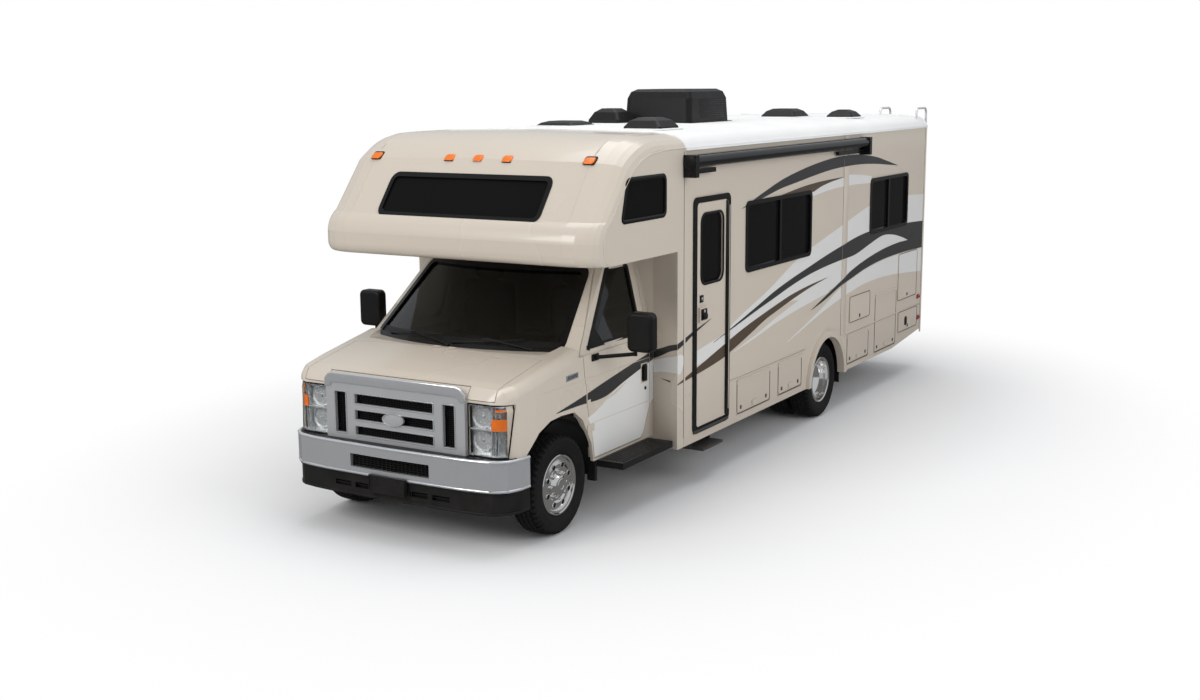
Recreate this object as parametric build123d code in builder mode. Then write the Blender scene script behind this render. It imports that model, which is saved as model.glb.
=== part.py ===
"""A class C motorhome: a cutaway van cab and chassis with a coach body built around it.

Millimetres, +Z up. The vehicle faces -Y and its left side, with the entry door, is at +X.
The origin is on the ground under the middle of the whole vehicle. Stations along the vehicle
are measured back from the front axle, and the planes and block() below shift them to the origin.
"""

from build123d import *
import os

os.makedirs("parts", exist_ok=True)

# ---------------------------------------------------------------- driving dimensions
WHEELBASE = 4470
FRONT_OVERHANG = 790
REAR_OVERHANG = 3030
LENGTH = FRONT_OVERHANG + WHEELBASE + REAR_OVERHANG
FRONT_AXLE_Y = FRONT_OVERHANG - LENGTH / 2

TYRE_R = 372
TYRE_WIDTH = 225
RIM_R = 204
FLANGE_R = 222
BEAD_HALF = 80
AXLE_Z = TYRE_R
FRONT_TYRE_X = 881.5
DUAL_X = 988
DUAL_OFFSET = 130
KINGPIN_X = 800

CAB_HALF = 1000
CAB_BOTTOM = 450
CAB_WALL = 50
SKIN = 25
CAB_REAR = 1400
CAB_FLOOR = (640, 680)
BELT_Z = 1280
CAB_TOP = 1970

HALF_WIDTH = 1265
WALL = 45
INNER_X = HALF_WIDTH - WALL
COACH_FRONT = 1430
COACH_REAR = 7370
SKIRT_Z = 375
EAVE_Z = 2770
CROWN_Z = 2900
FLOOR = (745, 800)

GAP = 6  # shut line around doors and lids


# ---------------------------------------------------------------- planes and small makers
def side_plane(x):
    """A plane across the vehicle at x: local x runs back from the front axle, local y up."""
    return Plane(origin=(x, FRONT_AXLE_Y, 0), x_dir=(0, 1, 0), z_dir=(1, 0, 0))


def plan_plane(z):
    """A level plane at z: local x to the left side, local y back from the front axle."""
    return Plane(origin=(0, FRONT_AXLE_Y, z), x_dir=(1, 0, 0), z_dir=(0, 0, 1))


def front_plane(y):
    """An upright plane at station y, seen from the front: local x to the left side, local y up."""
    return Plane(origin=(0, FRONT_AXLE_Y + y, 0), x_dir=(1, 0, 0), z_dir=(0, -1, 0))


def block(x_range, y_range, z_range, mode=Mode.ADD):
    """A box between two X, two stations and two heights, in the open part."""
    (x0, x1), (y0, y1), (z0, z1) = sorted(x_range), sorted(y_range), sorted(z_range)
    with Locations(((x0 + x1) / 2, FRONT_AXLE_Y + (y0 + y1) / 2, (z0 + z1) / 2)):
        Box(x1 - x0, y1 - y0, z1 - z0, mode=mode)


def rod(start, end, radius, mode=Mode.ADD):
    """A round bar between two points (x, station, z), in the open part."""
    first = Vector(start[0], FRONT_AXLE_Y + start[1], start[2])
    last = Vector(end[0], FRONT_AXLE_Y + end[1], end[2])
    run = last - first
    with BuildSketch(Plane(origin=first, z_dir=run)) as section:
        Circle(radius)
    extrude(section.sketch, amount=run.length, mode=mode)


def outline(plane, points, rounding=0, grow=0):
    """A flat face through corner points, its corners rounded or its outline grown."""
    with BuildSketch(plane) as face:
        with BuildLine():
            Polyline(*points, close=True)
        make_face()
        if rounding:
            fillet(face.vertices(), rounding)
        if grow:
            offset(amount=grow)
    return face.sketch


def panel(plane, x_range, y_range, rounding=0):
    """A rectangle on the plane between two local x and two local y values."""
    (x0, x1), (y0, y1) = x_range, y_range
    return outline(plane, [(x0, y0), (x1, y0), (x1, y1), (x0, y1)], rounding)


# ---------------------------------------------------------------- wheels and tyres
def tyre_section(x, station):
    """The half section of a tyre whose middle is at x, on a plane through the axle."""
    plane = Plane(origin=(x, FRONT_AXLE_Y + station, AXLE_Z), x_dir=(1, 0, 0), z_dir=(0, -1, 0))
    with BuildSketch(plane) as face:
        with BuildLine():
            Line((-BEAD_HALF, RIM_R), (-BEAD_HALF, FLANGE_R + 4))
            ThreePointArc((-BEAD_HALF, FLANGE_R + 4), (-TYRE_WIDTH / 2, 300), (-98, 348))
            ThreePointArc((-98, 348), (-93, 361), (-80, 367))
            ThreePointArc((-80, 367), (0, TYRE_R), (80, 367))
            ThreePointArc((80, 367), (93, 361), (98, 348))
            ThreePointArc((98, 348), (TYRE_WIDTH / 2, 300), (BEAD_HALF, FLANGE_R + 4))
            Polyline((BEAD_HALF, FLANGE_R + 4), (BEAD_HALF, RIM_R), (-BEAD_HALF, RIM_R))
        make_face()
    return face.sketch


def rim_section(x, station, side, dish):
    """The half section of a rim at x: barrel, flanges and a disc set dish outboard of the middle."""
    lip = BEAD_HALF + 10
    step = 20 if dish > 0 else -20
    points = [
        (-lip, FLANGE_R), (-BEAD_HALF, FLANGE_R), (-BEAD_HALF, RIM_R), (BEAD_HALF, RIM_R),
        (BEAD_HALF, FLANGE_R), (lip, FLANGE_R), (lip, RIM_R - 6), (step + 14, RIM_R - 10),
        (dish + 6, 125), (dish + 6, 0), (dish - 6, 0), (dish - 6, 118), (step, RIM_R - 12),
        (-lip, RIM_R - 6),
    ]
    plane = Plane(origin=(x, FRONT_AXLE_Y + station, AXLE_Z), x_dir=(side, 0, 0), z_dir=(0, -side, 0))
    return outline(plane, points)


def wheel_axis(station):
    """The line that the wheels on an axle turn about."""
    return Axis((0, FRONT_AXLE_Y + station, AXLE_Z), (1, 0, 0))


def hand_holes(x_range, station):
    """Eight vent holes through a disc, in the open part."""
    middle = ((x_range[0] + x_range[1]) / 2, FRONT_AXLE_Y + station, AXLE_Z)
    with Locations(Plane(origin=middle, z_dir=(1, 0, 0))):
        with PolarLocations(152, 8):
            Cylinder(17, abs(x_range[1] - x_range[0]), mode=Mode.SUBTRACT)


FRONT_DISH = 62
HUB_R = 58
SPINDLE_R = 25
HUB_BORE_R = SPINDLE_R + 0.05
REAR_TUBE_R = 45
REAR_BORE_R = REAR_TUBE_R + 0.05

for name, side in (("left", 1), ("right", -1)):
    x = side * FRONT_TYRE_X

    with BuildPart() as tyre:
        revolve(tyre_section(x, 0), wheel_axis(0))
    tyre.part.label = f"tyre_front_{name}"
    export_step(tyre.part, f"parts/tyre_front_{name}.step")

    with BuildPart() as wheel:
        revolve(rim_section(x, 0, side, FRONT_DISH), wheel_axis(0))
        hand_holes((x, x + side * 80), 0)
        rod((x - side * 8, 0, AXLE_Z), (x + side * 100, 0, AXLE_Z), HUB_R)
        rod((x - side * 32, 0, AXLE_Z), (x - side * 8, 0, AXLE_Z), 140)
        rod((x - side * 32, 0, AXLE_Z), (x + side * 82, 0, AXLE_Z), HUB_BORE_R, Mode.SUBTRACT)
    wheel.part.label = f"wheel_front_{name}"
    export_step(wheel.part, f"parts/wheel_front_{name}.step")

    with BuildPart() as tyres:
        for shift in (-DUAL_OFFSET, DUAL_OFFSET):
            revolve(tyre_section(side * (DUAL_X + shift), WHEELBASE), wheel_axis(WHEELBASE))
    tyres.part.label = f"tyres_rear_{name}"
    export_step(tyres.part, f"parts/tyres_rear_{name}.step")

    with BuildPart() as duals:
        for shift in (-DUAL_OFFSET, DUAL_OFFSET):
            dish = -shift + (6 if shift > 0 else -6)
            x = side * (DUAL_X + shift)
            revolve(rim_section(x, WHEELBASE, side, dish), wheel_axis(WHEELBASE))
        hand_holes((side * (DUAL_X - 70), side * (DUAL_X + 70)), WHEELBASE)
        rod((side * (DUAL_X - 60), WHEELBASE, AXLE_Z), (side * (DUAL_X + 120), WHEELBASE, AXLE_Z), 75)
        rod((side * (DUAL_X - 62), WHEELBASE, AXLE_Z), (side * (DUAL_X + 100), WHEELBASE, AXLE_Z),
            REAR_BORE_R, Mode.SUBTRACT)
    duals.part.label = f"wheels_rear_{name}"
    export_step(duals.part, f"parts/wheels_rear_{name}.step")

# ---------------------------------------------------------------- axles and knuckles
KINGPIN_R = 15
EYE_R = 28
EYE_HALF = 40
ARM_Z = (44, 60)
RAIL_X = (362, 432)
RAIL_Z = (470, 640)

for name, side in (("left", 1), ("right", -1)):
    with BuildPart() as knuckle:
        pin = side * KINGPIN_X
        rod((pin, 0, AXLE_Z - ARM_Z[1]), (pin, 0, AXLE_Z + ARM_Z[1]), KINGPIN_R)
        for low, high in (ARM_Z, (-ARM_Z[1], -ARM_Z[0])):
            block((pin - side * 25, pin + side * 46), (-25, 25), (AXLE_Z + low, AXLE_Z + high))
        block((pin + side * 34, pin + side * 46), (-40, 40), (AXLE_Z - 60, AXLE_Z + 60))
        rod((pin + side * 46, 0, AXLE_Z), (pin + side * 160, 0, AXLE_Z), SPINDLE_R)
    knuckle.part.label = f"knuckle_{name}"
    export_step(knuckle.part, f"parts/knuckle_{name}.step")

with BuildPart() as front_axle:
    block((-KINGPIN_X + 20, KINGPIN_X - 20), (-33, 33), (AXLE_Z - 36, AXLE_Z + 36))
    for side in (1, -1):
        pin = side * KINGPIN_X
        rod((pin, 0, AXLE_Z - EYE_HALF), (pin, 0, AXLE_Z + EYE_HALF), EYE_R)
        rod((pin, 0, AXLE_Z - 50), (pin, 0, AXLE_Z + 50), KINGPIN_R + 0.05, Mode.SUBTRACT)
        rod((side * 397, 0, AXLE_Z), (side * 397, 0, RAIL_Z[0]), 55)
front_axle.part.label = "front_axle"
export_step(front_axle.part, "parts/front_axle.step")

SPRING_X = (462, 537)
GEARBOX_Z = 470
SHAFT_Z = 420
PINION_LENGTH = 230
with BuildPart() as rear_axle:
    rod((-DUAL_X - 90, WHEELBASE, AXLE_Z), (DUAL_X + 90, WHEELBASE, AXLE_Z), REAR_TUBE_R)
    with Locations((0, FRONT_AXLE_Y + WHEELBASE, AXLE_Z)):
        Sphere(165)
    rod((0, WHEELBASE - PINION_LENGTH, SHAFT_Z), (0, WHEELBASE, SHAFT_Z), 50)
    for side in (1, -1):
        low, high = side * SPRING_X[0], side * SPRING_X[1]
        block((low, high), (WHEELBASE - 60, WHEELBASE + 60), (AXLE_Z, 430))
        block((low, high), (WHEELBASE - 650, WHEELBASE + 650), (430, 466))
        for station in (WHEELBASE - 620, WHEELBASE + 620):
            block((side * RAIL_X[1], high), (station - 30, station + 30), (466, 600))
rear_axle.part.label = "rear_axle"
export_step(rear_axle.part, "parts/rear_axle.step")

# ---------------------------------------------------------------- chassis
RAIL_ENDS = (-700, 7320)
CROSS_Z = (520, 632)
CROSSMEMBERS = (-560, 1500, 2900, 5250, 6200, 7250)
with BuildPart() as frame_rails:
    for side in (1, -1):
        block((side * RAIL_X[0], side * RAIL_X[1]), RAIL_ENDS, RAIL_Z)
        block((side * RAIL_X[0], side * (RAIL_X[1] - 8)), RAIL_ENDS, (RAIL_Z[0] + 8, RAIL_Z[1] - 8),
              Mode.SUBTRACT)
    for station in CROSSMEMBERS:
        block((-RAIL_X[1] + 8, RAIL_X[1] - 8), (station - 30, station + 30), CROSS_Z)
frame_rails.part.label = "frame_rails"
export_step(frame_rails.part, "parts/frame_rails.step")

ENGINE_Y = (-350, 430)
with BuildPart() as engine_block:
    block((-250, 250), ENGINE_Y, (480, 960))
    for side in (1, -1):
        block((side * 250, side * (RAIL_X[1] - 8)), (0, 60), (560, 620))
engine_block.part.label = "engine_block"
export_step(engine_block.part, "parts/engine_block.step")

with BuildPart() as driveline:
    rod((0, ENGINE_Y[1], GEARBOX_Z), (0, 1150, GEARBOX_Z), 90)
    rod((0, 1150, SHAFT_Z), (0, WHEELBASE - PINION_LENGTH, SHAFT_Z), 38)
driveline.part.label = "driveline"
export_step(driveline.part, "parts/driveline.step")

EXHAUST_X = -210
EXHAUST_Z = 435
TAILPIPE_Y = 3740
with BuildPart() as exhaust:
    rod((EXHAUST_X, 390, EXHAUST_Z), (EXHAUST_X, 390, 480), 30)
    rod((EXHAUST_X, 360, EXHAUST_Z), (EXHAUST_X, TAILPIPE_Y + 30, EXHAUST_Z), 30)
    rod((EXHAUST_X, 2000, EXHAUST_Z), (EXHAUST_X, 2700, EXHAUST_Z), 95)
    rod((EXHAUST_X, TAILPIPE_Y, EXHAUST_Z), (-640, TAILPIPE_Y, EXHAUST_Z), 30)
exhaust.part.label = "exhaust"
export_step(exhaust.part, "parts/exhaust.step")

# Tanks hang under the crossmembers: y from, y to, bottom.
TANKS = ((2860, 3500, 400), (5200, 6190, 360), (6210, 7080, 400))
with BuildPart() as tanks:
    for y0, y1, bottom in TANKS:
        block((60 if y0 < 3000 else -340, 340), (y0, y1), (bottom, CROSS_Z[0]))
tanks.part.label = "tanks"
export_step(tanks.part, "parts/tanks.step")

# ---------------------------------------------------------------- cab shell
# Sections of the nose: station, half width, shoulder top, rise of the crown.
NOSE_SECTIONS = ((-655, 870, 1105, 14), (-600, 940, 1183, 16), (-520, 985, 1203, 20),
                 (-330, 1000, 1240, 24), (250, 1000, 1350, 30))
SHOULDER = 80


def nose(inset):
    """The nose and fenders as a solid, its skin moved inwards by inset."""
    sections = []
    for station, half, top, crown in NOSE_SECTIONS:
        half = half - inset
        top = top - inset
        front = inset if station < 0 else 0
        with BuildSketch(front_plane(station + front)) as face:
            with BuildLine():
                bend = SHOULDER * 0.293
                Polyline((-half, top - SHOULDER), (-half, CAB_BOTTOM), (half, CAB_BOTTOM),
                         (half, top - SHOULDER))
                ThreePointArc((half, top - SHOULDER), (half - bend, top - bend), (half - SHOULDER, top))
                ThreePointArc((half - SHOULDER, top), (0, top + crown), (SHOULDER - half, top))
                ThreePointArc((SHOULDER - half, top), (bend - half, top - bend), (-half, top - SHOULDER))
            make_face()
        sections.append(face.sketch)
    with BuildPart() as solid:
        loft(sections, ruled=True)
    return solid.part


# Levels of the greenhouse: height, windscreen centre, pillar corner (x, y), shoulder (x, y), side x.
GREENHOUSE = ((BELT_Z, -35, (900, 190), (970, 262), 988), (CAB_TOP, 794, (745, 965), (800, 1010), 828))


def greenhouse(inset):
    """The glazed upper cab as a solid, its skin moved inwards by inset."""
    sections = []
    lean = inset * 1.5
    for height, centre, pillar, shoulder, side_x in GREENHOUSE:
        top = inset if height == CAB_TOP else 0
        with BuildSketch(plan_plane(height - top)) as face:
            with BuildLine():
                ThreePointArc((-pillar[0] + inset, pillar[1] + lean), (0, centre + lean),
                              (pillar[0] - inset, pillar[1] + lean))
                Polyline((pillar[0] - inset, pillar[1] + lean), (shoulder[0] - inset, shoulder[1] + lean),
                         (side_x - inset, shoulder[1] + 180 + lean), (side_x - inset, CAB_REAR),
                         (inset - side_x, CAB_REAR), (inset - side_x, shoulder[1] + 180 + lean),
                         (inset - shoulder[0], shoulder[1] + lean), (inset - pillar[0], pillar[1] + lean))
            make_face()
        sections.append(face.sketch)
    with BuildPart() as solid:
        loft(sections, ruled=True)
    return solid.part


with BuildPart() as cab_outer:
    add(nose(0))
    block((-CAB_HALF, CAB_HALF), (240, CAB_REAR), (CAB_BOTTOM, BELT_Z))
    add(greenhouse(0))

with BuildPart() as cab_shell:
    add(cab_outer.part)
    add(nose(SKIN), mode=Mode.SUBTRACT)
    block((-CAB_HALF + CAB_WALL, CAB_HALF - CAB_WALL), (150, CAB_REAR), (CAB_BOTTOM, BELT_Z),
          Mode.SUBTRACT)
    add(greenhouse(CAB_WALL), mode=Mode.SUBTRACT)

# Outlines on the cab's side, as (station, height) points.
CAB_DOOR = [(460, 475), (440, 660), (385, 820), (365, 1000), (335, 1130), (312, 1290), (350, 1345),
            (905, 1912), (1330, 1912), (1330, 700), (1210, 475)]
CAB_DOOR_GLASS = [(420, 1325), (450, 1345), (930, 1850), (1215, 1850), (1225, 1835), (1225, 1400),
                  (1180, 1325)]
FENDER_ARCH = [(-470, 400), (-450, 700), (-300, 830), (-150, 885), (0, 895), (180, 885), (300, 800),
               (360, 700), (420, 600), (460, 400)]
DOOR_HINGE = (1004, 362)

HOOD_HALF = 857
HOOD_REAR = -45
HOOD_LIP = 1107
LAMP_X = (640, 1000)
LAMP_Z = (700, 1085)
LAMP_DEPTH = 110
LAMP_BACK = -545
HEADER_X = 635
HEADER_TOP = 1190
WINDSCREEN = [(-868, 1318), (868, 1318), (742, 1868), (-742, 1868)]
GLASS_INSET = (10, 17)


def hood_region(clearance=0):
    """The space that the hood fills, grown by clearance, stepped up over the grille's header."""
    with BuildPart() as region:
        block((-HOOD_HALF - clearance, HOOD_HALF + clearance), (-720, HOOD_REAR + clearance),
              (HOOD_LIP - clearance, 1450))
        block((clearance - HEADER_X, HEADER_X - clearance), (-720, -580), (0, HEADER_TOP - clearance),
              Mode.SUBTRACT)
    return region.part


def cab_opening(points, side, clearance=0):
    """The prism through one cab side for a side outline grown by clearance."""
    with BuildPart() as prism:
        extrude(outline(side_plane(side * 780), points, grow=clearance), amount=side * 320)
    return prism.part


LINER_R = (490, 505)
with BuildPart() as cab_body:
    add(cab_shell.part)
    # hood opening, lamp pockets and grille opening
    add(hood_region(5), mode=Mode.SUBTRACT)
    for side in (1, -1):
        block((side * LAMP_X[0], side * 1010), (-700, LAMP_BACK), (400, LAMP_Z[1]), Mode.SUBTRACT)
    block((-600, 600), (-700, -600), (400, 1085), Mode.SUBTRACT)
    block((-1010, 1010), (-700, -420), (400, 690), Mode.SUBTRACT)
    # doors and windscreen
    for side in (1, -1):
        add(cab_opening(CAB_DOOR, side, GAP), mode=Mode.SUBTRACT)
    extrude(outline(front_plane(-100), WINDSCREEN, 60), amount=-1200, mode=Mode.SUBTRACT)
    # floor, firewall and engine cover
    block((-948, 948), (150, CAB_REAR), CAB_FLOOR)
    block((-948, 948), (150, 170), (CAB_FLOOR[1], 1290))
    block((-330, 330), (170, 530), (CAB_FLOOR[1], 1060))
    block((-300, 300), (140, 500), (CAB_FLOOR[0], 1030), Mode.SUBTRACT)
    # wheel houses
    for side in (1, -1):
        inner, outer = side * 540, side * 940
        rod((inner, 0, AXLE_Z), (outer, 0, AXLE_Z), LINER_R[1])
        rod((inner, 0, AXLE_Z), (side * 974, 0, AXLE_Z), LINER_R[0], Mode.SUBTRACT)
    block((-1010, 1010), (-560, 560), (-200, CAB_BOTTOM), Mode.SUBTRACT)
    for side in (1, -1):
        extrude(outline(side_plane(side * 930), FENDER_ARCH), amount=side * 90, mode=Mode.SUBTRACT)
cab_body.part.label = "cab_body"
export_step(cab_body.part, "parts/cab_body.step")

# ---------------------------------------------------------------- hood, cab doors and cab glass
HINGE_R = 3.7
SEAT = 0.3  # running clearance of a hinge barrel over what it lies on
HOOD_HINGE = (-43, 1326)
with BuildPart() as hood:
    add(cab_shell.part)
    add(hood_region(), mode=Mode.INTERSECT)
    for side in (1, -1):
        rod((side * 40, HOOD_HINGE[0], HOOD_HINGE[1]), (side * 100, HOOD_HINGE[0], HOOD_HINGE[1]), HINGE_R)
        block((side * 40, side * 100), (HOOD_REAR - 30, HOOD_HINGE[0]), (1318, HOOD_HINGE[1]))
hood.part.label = "hood"
export_step(hood.part, "parts/hood.step")

with BuildPart() as cab_glass_shell:
    add(greenhouse(GLASS_INSET[0]))
    add(greenhouse(GLASS_INSET[1]), mode=Mode.SUBTRACT)

with BuildPart() as windscreen:
    add(cab_glass_shell.part)
    extrude(outline(front_plane(-100), WINDSCREEN, 60), amount=-1200, mode=Mode.INTERSECT)
windscreen.part.label = "windscreen"
export_step(windscreen.part, "parts/windscreen.step")

# Hinges of a cab door: bottom, top, station of the door's front edge there.
CAB_HINGES = ((690, 750, 435), (880, 940, 385))
MIRROR_HEAD = ((1180, 1395), (640, 730), (1280, 1580))
MIRROR_FOOT = ((CAB_HALF, CAB_HALF + 14), (430, 520), (1225, 1275))
MIRROR_ARM = ((CAB_HALF + 13.5, 475, 1250), (1240, 675, 1262))
MIRROR_ARM_R = 15
for name, side in (("left", 1), ("right", -1)):
    with BuildPart() as door:
        add(cab_shell.part)
        add(cab_opening(CAB_DOOR, side), mode=Mode.INTERSECT)
        add(cab_opening(CAB_DOOR_GLASS, side), mode=Mode.SUBTRACT)
        hinge_x = side * DOOR_HINGE[0]
        for low, high, door_edge in CAB_HINGES:
            rod((hinge_x, DOOR_HINGE[1], low), (hinge_x, DOOR_HINGE[1], high), HINGE_R)
            block((side * (CAB_HALF + SEAT), hinge_x), (DOOR_HINGE[1], door_edge + 25), (low, high))
            block((side * (CAB_HALF - 5), hinge_x), (door_edge + 5, door_edge + 25), (low, high))
    door.part.label = f"cab_door_{name}"
    export_step(door.part, f"parts/cab_door_{name}.step")

    with BuildPart() as glass:
        add(cab_glass_shell.part)
        add(cab_opening(CAB_DOOR_GLASS, side), mode=Mode.INTERSECT)
    glass.part.label = f"cab_door_glass_{name}"
    export_step(glass.part, f"parts/cab_door_glass_{name}.step")

    with BuildPart() as mirror:
        xs, ys, zs = MIRROR_HEAD
        block((side * xs[0], side * xs[1]), ys, zs)
        fillet(mirror.edges().filter_by(Axis.Y), 45)
        fillet(mirror.faces().sort_by(Axis.Y)[0].edges(), 25)
        foot_x, foot_y, foot_z = MIRROR_FOOT
        block((side * foot_x[0], side * foot_x[1]), foot_y, foot_z)
        (x0, y0, z0), (x1, y1, z1) = MIRROR_ARM
        rod((side * x0, y0, z0), (side * x1, y1, z1), MIRROR_ARM_R)
        rod((side * x1, y1, z1 - MIRROR_ARM_R), (side * x1, y1, zs[0] + 40), MIRROR_ARM_R)
    mirror.part.label = f"mirror_{name}"
    export_step(mirror.part, f"parts/mirror_{name}.step")

# ---------------------------------------------------------------- front of the cab
with BuildPart() as headlamps:
    add(nose(0))
    add(nose(LAMP_DEPTH), mode=Mode.SUBTRACT)
    block((-LAMP_X[1], LAMP_X[1]), (-700, LAMP_BACK), LAMP_Z, Mode.INTERSECT)
    block((-LAMP_X[0], LAMP_X[0]), (-700, -500), (600, 1200), Mode.SUBTRACT)
headlamps.part.label = "headlamps"
export_step(headlamps.part, "parts/headlamps.step")

GRILLE_OUTLINE = [(-630, 700), (630, 700), (630, 1130), (560, 1185), (-560, 1185), (-630, 1130)]
GRILLE_SLOTS = ((740, 810), (855, 930), (975, 1050))  # bottom and top of each wide slot
with BuildPart() as grille:
    extrude(outline(front_plane(NOSE_SECTIONS[0][0]), GRILLE_OUTLINE), amount=26)
    for low, high in GRILLE_SLOTS:
        block((-356, 356), (-690, -650), (low, high), Mode.SUBTRACT)
    for side in (1, -1):
        block((side * 440, side * 544), (-690, -650), (745, 1055), Mode.SUBTRACT)
grille.part.label = "grille"
export_step(grille.part, "parts/grille.step")

# Half of the bumper's plan, from the middle out: (x, station).
BUMPER_PLAN = ((0, -763), (600, -748), (860, -715), (960, -640), (1000, -520), (1005, -430))


def bumper_band(z_range, inset, depth):
    """A band that follows the bumper's plan, moved inwards by inset and depth thick."""
    outer = [(x - (inset if x > 900 else 0), y + inset) for x, y in BUMPER_PLAN]
    inner = [(x - (depth if x > 900 else depth * 0.4 if x else 0), y + depth) for x, y in outer[:-2]]
    inner += [(outer[-2][0] - depth, outer[-2][1]), (outer[-1][0] - depth, outer[-1][1])]
    half = outer + inner[::-1]
    points = half[:-1] + [inner[0]] + [(-x, y) for x, y in inner[1:]] + [(-x, y) for x, y in outer[:0:-1]]
    with BuildPart() as band:
        extrude(outline(plan_plane(z_range[0]), points), amount=z_range[1] - z_range[0])
    return band.part


with BuildPart() as front_bumper:
    add(bumper_band((470, 690), 0, 28))
    block((-358, 358), (-800, -700), (520, 618), Mode.SUBTRACT)
    for side in (1, -1):
        block((side * 372, side * RAIL_X[1]), (-738, RAIL_ENDS[0]), (500, 600))
front_bumper.part.label = "front_bumper"
export_step(front_bumper.part, "parts/front_bumper.step")

VALANCE_SLOTS = ((-520, -370), (-330, -170), (170, 330), (370, 520))
with BuildPart() as front_valance:
    add(bumper_band((300, 470), 14, 24))
    for x0, x1 in VALANCE_SLOTS:
        block((x0, x1), (-800, -690), (360, 400), Mode.SUBTRACT)
    block((-165, 165), (-790, -764), (360, 490))
    block((-120, 120), (-770, -740), (380, 450))
    with Locations((0, FRONT_AXLE_Y - 790, 425)):
        with Locations((-88.9, 0, 0), (88.9, 0, 0)):
            with Locations(Rotation(90, 0, 0)):
                Cylinder(3.5, 120, mode=Mode.SUBTRACT)
front_valance.part.label = "front_valance"
export_step(front_valance.part, "parts/front_valance.step")

MUD_FLAP = ((WHEELBASE + 470, WHEELBASE + 482), (260, FLOOR[0]))
with BuildPart() as running_boards:
    for side in (1, -1):
        block((side * 955, side * 1230), (500, 1300), (400, CAB_BOTTOM))
        block((side * 930, side * 1000), (470, 500), (290, CAB_BOTTOM))
        block((side * 800, side * INNER_X), MUD_FLAP[0], MUD_FLAP[1])
running_boards.part.label = "running_boards"
export_step(running_boards.part, "parts/running_boards.step")

# ---------------------------------------------------------------- cab interior
SEAT_X = 430
with BuildPart() as seats:
    for x in (SEAT_X, -SEAT_X):
        block((x - 200, x + 200), (780, 1180), (CAB_FLOOR[1], 960))
        block((x - 250, x + 250), (700, 1230), (960, 1090))
        block((x - 240, x + 240), (1110, 1240), (1090, 1680))
        block((x - 140, x + 140), (1130, 1230), (1680, 1850))
seats.part.label = "seats"
export_step(seats.part, "parts/seats.step")

DASH_HALF = 830
WHEEL_PLANE = Plane(origin=(SEAT_X, FRONT_AXLE_Y + 620, 1260), z_dir=(0, 1, 0.9))
with BuildPart() as dashboard:
    block((-DASH_HALF, DASH_HALF), (330, 500), (1070, 1300))
    block((-DASH_HALF, DASH_HALF), (170, 330), (1070, 1270))
    with BuildSketch(WHEEL_PLANE) as ring:
        Circle(190)
        Circle(160, mode=Mode.SUBTRACT)
        Rectangle(330, 40)
        Circle(60)
    extrude(ring.sketch, amount=25)
    with BuildSketch(WHEEL_PLANE) as column:
        Circle(35)
    extrude(column.sketch, amount=-200)
dashboard.part.label = "dashboard"
export_step(dashboard.part, "parts/dashboard.step")

# ---------------------------------------------------------------- front cap over the cab
# Stations across half the cap: x, how far the nose is set back, how far the roof drops.
CAP_SECTIONS = ((0, 0, 0), (1000, 0, 18), (1100, 14, 27), (1180, 42, 46), (1225, 72, 70), (1252, 106, 98),
                (HALF_WIDTH, 150, 130))
CAP_BOTTOM = 1970
CAP_NOSE = 20


def front_cap_solid(wall):
    """The cap as a solid, its skin moved inwards by wall."""
    sections = []
    half_sections = CAP_SECTIONS if not wall else tuple(
        (x - wall if x else 0, back, drop) for x, back, drop in CAP_SECTIONS)
    stations = [(-x, back, drop) for x, back, drop in half_sections[:0:-1]] + list(half_sections)
    for x, back, drop in stations:
        nose_y = CAP_NOSE + back + wall
        top = CROWN_Z - drop - wall
        bottom = CAP_BOTTOM + wall
        with BuildSketch(side_plane(x)) as face:
            with BuildLine():
                Polyline((COACH_FRONT, top), (COACH_FRONT, bottom), (nose_y + 90, bottom))
                ThreePointArc((nose_y + 90, bottom), (nose_y + 22, bottom + 30), (nose_y, bottom + 95))
                Line((nose_y, bottom + 95), (nose_y, 2140))
                ThreePointArc((nose_y, 2140), (nose_y + 26, 2218), (nose_y + 106, 2290))
                Line((nose_y + 106, 2290), (nose_y + 420, 2710 - drop * 0.6 - wall))
                ThreePointArc((nose_y + 420, 2710 - drop * 0.6 - wall),
                              (nose_y + 640, 2850 - drop * 0.9 - wall), (nose_y + 960, top))
                Line((nose_y + 960, top), (COACH_FRONT, top))
            make_face()
        sections.append(face.sketch)
    with BuildPart() as solid:
        loft(sections, ruled=True)
    return solid.part


CAP_WINDOW = ((-730, 730), (2290, 2580))
BUNK_WINDOW = [(430, 2270), (520, 2580), (1110, 2580), (1110, 2270)]
# The wall that closes the coach beside the cab, in plan.
RETURN_WALL = [(950, CAB_REAR), (CAB_HALF, CAB_REAR), (HALF_WIDTH, 1310), (HALF_WIDTH, COACH_FRONT),
               (INNER_X, COACH_FRONT), (INNER_X, 1372), (CAB_HALF, 1447), (950, 1447)]
with BuildPart() as front_cap:
    add(front_cap_solid(0))
    add(front_cap_solid(WALL), mode=Mode.SUBTRACT)
    block((-INNER_X, INNER_X), (CAB_REAR + 20, 1500), (CAP_BOTTOM - 50, EAVE_Z - 10), Mode.SUBTRACT)
    for side in (1, -1):
        plan = [(side * x, y) for x, y in RETURN_WALL]
        extrude(outline(plan_plane(SKIRT_Z), plan), amount=CAP_BOTTOM - SKIRT_Z)
        block((side * 780, side * CAB_HALF), (CAB_REAR, 1447), (BELT_Z, CAP_BOTTOM))
    extrude(panel(front_plane(300), *CAP_WINDOW, 50), amount=400, both=True, mode=Mode.SUBTRACT)
    extrude(outline(side_plane(-1300), BUNK_WINDOW, 50), amount=2600, mode=Mode.SUBTRACT)
front_cap.part.label = "front_cap"
export_step(front_cap.part, "parts/front_cap.step")

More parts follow.
